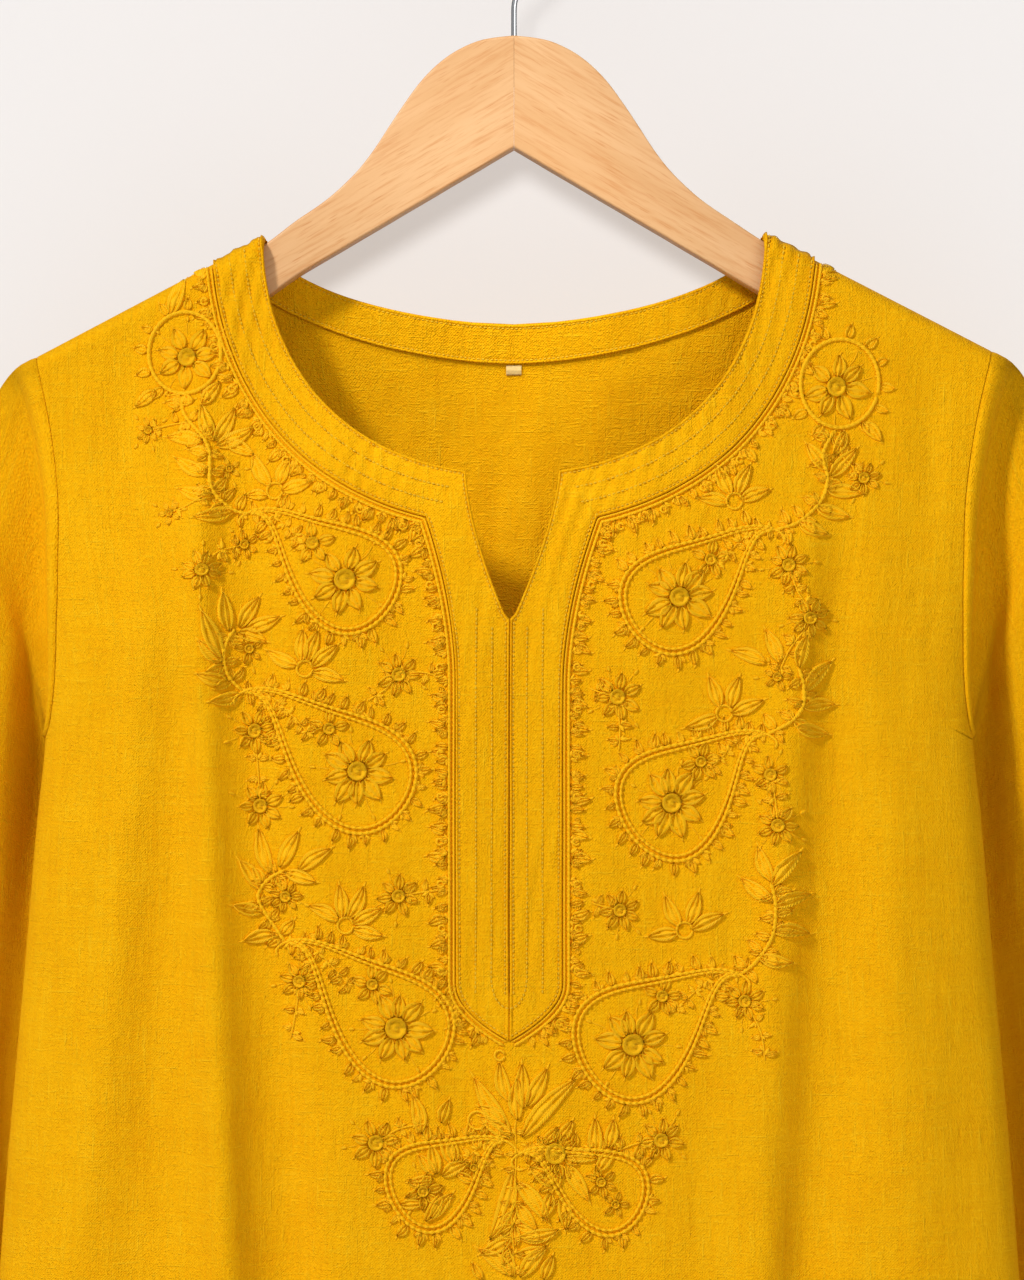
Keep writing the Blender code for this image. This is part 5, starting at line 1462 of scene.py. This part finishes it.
# ---- stitches
BAND_STITCH, HEM_STITCH = 1.95, 2.6     # length from one stitch to the next
STITCH_LENGTH, STITCH_WIDTH = 1.35, 0.74
STITCH_RISE, QUILT_RISE, STITCH_FOOT = 0.55, 0.28, -0.12
STITCH_ALONG = np.array((-0.5, -0.36, 0.0, 0.36, 0.5)) * STITCH_LENGTH
STITCH_SWELL = np.array((0.25, 0.85, 1.0, 0.85, 0.25))[:, None]
STITCH_ACROSS = np.array((-1.0, 0.0, 1.0))
SLIT_SEAM = 6.0         # distance of the stitches from the side slits' edges
HEM_FOOT, EDGE_FOOT, QUILT_FOOT = 0.06, BAND_HEIGHT - 0.30, BAND_HEIGHT + 0.05
QUILT_SHARES = (0.36, 0.66)     # places of the band's inner rows between its edges
QUILT_OUTER, QUILT_INNER = 14.2, 7.5    # x of the placket's inner rows


def stitches(path, height, rise=STITCH_RISE, pitch=BAND_STITCH):
    """Row of stitches along a path: each a low arch, pinched in at both ends."""
    path, at = along_path(path, 0.3)
    count = max(int(at[-1] / pitch), 1)
    stops = (np.arange(count) + 0.5) * at[-1] / count
    across = read(left_of(path), at, stops)
    across = across + 0.06 * uneven(count, pitch)[:, None] * across[:, ::-1]
    run = across[:, ::-1] * (1, -1)
    place = (read(path, at, stops)[:, None, None] + run[:, None, None] * STITCH_ALONG[:, None, None]
             + across[:, None, None] * (STITCH_SWELL * STITCH_ACROSS * STITCH_WIDTH / 2)[..., None])
    up = height + np.where(STITCH_ACROSS == 0, rise, STITCH_FOOT) * STITCH_SWELL
    up = np.broadcast_to(up, place.shape[:3])
    return closed_shapes(place, up, STITCH_ALONG[:, None], STITCH_ALONG[:, None])


def column(x, drops):
    """Line down the cloth at one x."""
    return np.column_stack((np.full(len(drops), x), drops))


def band_stitches():
    """Rows along both edges of the band and placket, and the quilting rows between them."""
    rows = []
    for runs, distance in ((band_inner_line(120)[:3], BAND_SEAM), (band_outer_line(120), -BAND_SEAM)):
        line = offset_line(edge_line(runs, 1.0), distance)
        line[:, 0] = np.maximum(line[:, 0], 0.9)
        rows.append((line, EDGE_FOOT, STITCH_RISE))
    for share in QUILT_SHARES:
        wide = NECK_HALF + share * (BAND_SHOULDER_HALF - NECK_HALF)
        deep = FRONT_NECK_DEPTH + share * FRONT_BAND_WIDTH
        neck = neck_arc(wide, deep, FRONT_NECK_POWER, 120, NOTCH_HALF + 4 + 8 * share)
        rows.append((neck[6:], QUILT_FOOT, QUILT_RISE))
    turn = np.linspace(0.0, np.pi / 2, 16)[1:]
    bow = np.column_stack((QUILT_INNER * np.cos(turn), SLIT_BOTTOM - 8 + 13.0 * np.sin(turn)))
    outer = column(QUILT_OUTER, np.linspace(NOTCH_BOTTOM - 4, PLACKET_SIDE_END + 4, 60))
    inner = column(QUILT_INNER, np.linspace(NOTCH_BOTTOM + 4, SLIT_BOTTOM - 8, 60))
    rows += [(line, QUILT_FOOT, QUILT_RISE) for line in (outer, np.vstack((inner, bow)))]
    return [stitches(line * (hand, 1), height, rise) for hand in SIDES for line, height, rise in rows]


def hem_stitches():
    """Rows along the hem and up both edges of the side slits of one panel."""
    low = LENGTH - HEM_SEAM
    reach = float(side_x(low)) - SLIT_SEAM
    drops = np.linspace(SLIT_TOP - 8.0, low, 60)
    edge = np.column_stack((side_x(drops) - SLIT_SEAM, drops))
    hem = np.column_stack((np.linspace(-reach, reach, 200), np.full(200, low)))
    return [stitches(hem, HEM_FOOT, pitch=HEM_STITCH)] + [
        stitches(edge * (hand, 1), 0.0, pitch=HEM_STITCH) for hand in SIDES]


def facing_stitches():
    """Rows along both edges of the back neck's facing, on its inner face."""
    parts = []
    for share in (0.10, 0.90):
        half = NECK_HALF + share * (BAND_SHOULDER_HALF - NECK_HALF)
        arc = neck_arc(half, BACK_NECK_DEPTH + share * BACK_BAND_WIDTH, BACK_NECK_POWER, 120)[8:]
        points, faces, uv = stitches(mirrored(arc), FACING_NEAR + FACING_THICKNESS - 0.2)
        parts.append((points * (1, 1, -1), faces, uv))
    return parts


def cuff_stitches(name, ring, along, normal):
    """A row round the cuff: places counted along the ring, laid on its own points and normals."""
    ring, along, normal = (np.vstack((part, part[:1])) for part in (ring, along, normal))
    length = distances(ring)
    path = np.column_stack((np.linspace(0.0, length[-1], 300), np.zeros(300)))
    points, faces, uv = stitches(path, 0.0, pitch=HEM_STITCH)
    run, out, height = points.T
    place, down, up = (read(part, length, run) for part in (ring, unit(along), normal))
    place = place + down * out[:, None] + up * height[:, None]
    new_piece(name, place, faces, SEWING_THREAD, uv, turn="outwards")


sew("band_stitches", band_stitches(), SEWING_THREAD)
for side, name in ((FRONT, "front_hem_stitches"), (BACK, "back_hem_stitches")):
    sew(name, hem_stitches(), SEWING_THREAD, side)
sew("facing_stitches", facing_stitches(), SEWING_THREAD, BACK)
cuff_stitches("left_cuff_stitches", *left_cuff)
cuff_stitches("right_cuff_stitches", *right_cuff)


# ---- camera, light and background
FRAME_WIDTH, FRAME_HEIGHT = 1024, 1280
MM_PER_PIXEL = 0.43
MIDDLE_PIXEL_X = 514.0          # pixel column of the hanger's centre line
HUMP_PIXEL_Y = 36.0             # pixel row of the hanger's top
CAMERA_DISTANCE = 1700.0
CAMERA_PLANE_Y = -20.0          # plane on which the scale holds
SENSOR = 36.0
# The surroundings, in metres.
WALL_Y, FLOOR_Z, ROOM, WALL_TOP = 0.096, -1.60, 4.0, 3.0
WALL, WALL_GLOW = (0.55, 0.55, 0.55, 1.0), (0.455, 0.425, 0.408, 1.0)
SKY, SKY_STRENGTH = (1.0, 0.992, 0.985, 1.0), 0.27
MIDDLE = (0.0, 0.0, -0.35)
NECK, NECK_REACH = (0.0, 0.034, -0.245), 0.10


def make_camera():
    """Level camera that looks along +Y, at a scale set on one plane of the garment."""
    data = bpy.data.cameras.new("camera")
    data.sensor_width = SENSOR
    data.lens = SENSOR * CAMERA_DISTANCE / (FRAME_HEIGHT * MM_PER_PIXEL)
    camera = linked("camera", data)
    x = (FRAME_WIDTH / 2 - MIDDLE_PIXEL_X) * MM_PER_PIXEL
    z = HUMP_TOP_Z - (FRAME_HEIGHT / 2 - HUMP_PIXEL_Y) * MM_PER_PIXEL
    camera.location = (MM * x, MM * (CAMERA_PLANE_Y - CAMERA_DISTANCE), MM * z)
    camera.rotation_euler = (np.pi / 2, 0.0, 0.0)
    bpy.context.scene.camera = camera


def make_light(name, kind, place, aim, power, **settings):
    """Light at a place, turned towards a point."""
    data = bpy.data.lights.new(name, kind)
    data.energy = power
    for key, value in settings.items():
        setattr(data, key, value)
    light = linked(name, data)
    light.location = place
    light.rotation_euler = (Vector(aim) - Vector(place)).to_track_quat("-Z", "Y").to_euler()
    return light


def make_softbox(name, place, aim, size, power, colour):
    """Soft square light."""
    return make_light(name, "AREA", place, aim, power, shape="SQUARE", size=size, color=colour)


def light_only(light, piece, state):
    """Makes a light reach just one piece, or every piece but it."""
    group = bpy.data.collections.new(light.name + " reach")
    group.objects.link(piece)
    group.collection_objects[0].light_linking.link_state = state
    light.light_linking.receiver_collection = group


def stage_plane(name, corners, material):
    """One flat rectangle of the surroundings, facing the way its corners turn."""
    mesh = bpy.data.meshes.new(name)
    mesh.from_pydata(corners, [], [(0, 1, 2, 3)])
    mesh.materials.append(material)
    plane = linked(name, mesh)
    return plane


def wall_material():
    """Pale wall that shows from its front only, and lets the light from behind pass."""
    made = bpy.data.materials.new("wall")
    made.use_nodes = True
    tree = made.node_tree
    tree.nodes.clear()
    diffuse = node(tree, "ShaderNodeBsdfDiffuse", {"Color": WALL}).outputs[0]
    glow = node(tree, "ShaderNodeEmission", {"Color": WALL_GLOW, "Strength": 1.0}).outputs[0]
    lit = node(tree, "ShaderNodeAddShader", {0: diffuse, 1: glow}).outputs[0]
    clear = node(tree, "ShaderNodeBsdfTransparent").outputs[0]
    seen = node(tree, "ShaderNodeLightPath").outputs["Is Camera Ray"]
    behind = node(tree, "ShaderNodeNewGeometry").outputs["Backfacing"]
    shown = maths(tree, "MULTIPLY", seen, maths(tree, "SUBTRACT", 1.0, behind))
    mixed = node(tree, "ShaderNodeMixShader", {0: shown, 1: clear, 2: lit}).outputs[0]
    node(tree, "ShaderNodeOutputMaterial", {"Surface": mixed})
    return made


def floor_material():
    """Pale, slightly uneven floor."""
    made, tree, shader = new_material("floor")
    place = node(tree, "ShaderNodeTexCoord").outputs["Object"]
    tone = blend(tree, noise(tree, place, 3.0), FLOOR, FLOOR_PALE)
    feed(tree, shader, {"Base Color": tone, "Roughness": 0.9})
    return made


def make_surroundings():
    """Wall, floor and sky, soft lights on the tunic, one on its inside at the neck, one on the wall."""
    wall = stage_plane("wall", [(-ROOM, WALL_Y, FLOOR_Z), (ROOM, WALL_Y, FLOOR_Z), (ROOM, WALL_Y, WALL_TOP),
                                (-ROOM, WALL_Y, WALL_TOP)], wall_material())
    stage_plane("floor", [(-ROOM, -ROOM, FLOOR_Z), (ROOM, -ROOM, FLOOR_Z), (ROOM, ROOM, FLOOR_Z),
                          (-ROOM, ROOM, FLOOR_Z)], floor_material())
    world = bpy.data.worlds.new("studio")
    world.use_nodes = True
    feed(world.node_tree, world.node_tree.nodes["Background"], {"Color": SKY, "Strength": SKY_STRENGTH})
    bpy.context.scene.world = world
    place = Vector((0.0, -0.40, 0.36))
    spread = 2 * np.arctan(NECK_REACH / (Vector(NECK) - place).length)
    for light in (make_softbox("key", (-2.15, -2.38, 1.78), MIDDLE, 0.45, 120.0, (1.0, 0.995, 0.985)),
                  make_softbox("fill", (1.6, -2.5, -0.1), MIDDLE, 2.0, 23.0, (1.0, 0.995, 0.99)),
                  make_light("neck light", "SPOT", place, NECK, 13.0, shadow_soft_size=0.05, spot_blend=1.0,
                             spot_size=spread)):
        light_only(light, wall, "EXCLUDE")
    low = make_softbox("wall light", (-0.15, -3.0, -0.12), (0.0, 0.0, -0.15), 0.29, 44.0, (1.0, 1.0, 1.0))
    light_only(low, wall, "INCLUDE")
    make_softbox("rear", (0.9, 2.2, 0.9), MIDDLE, 1.2, 14.0, (1.0, 0.995, 0.985))
    bpy.context.scene.view_settings.view_transform = "Standard"


make_camera()
make_surroundings()
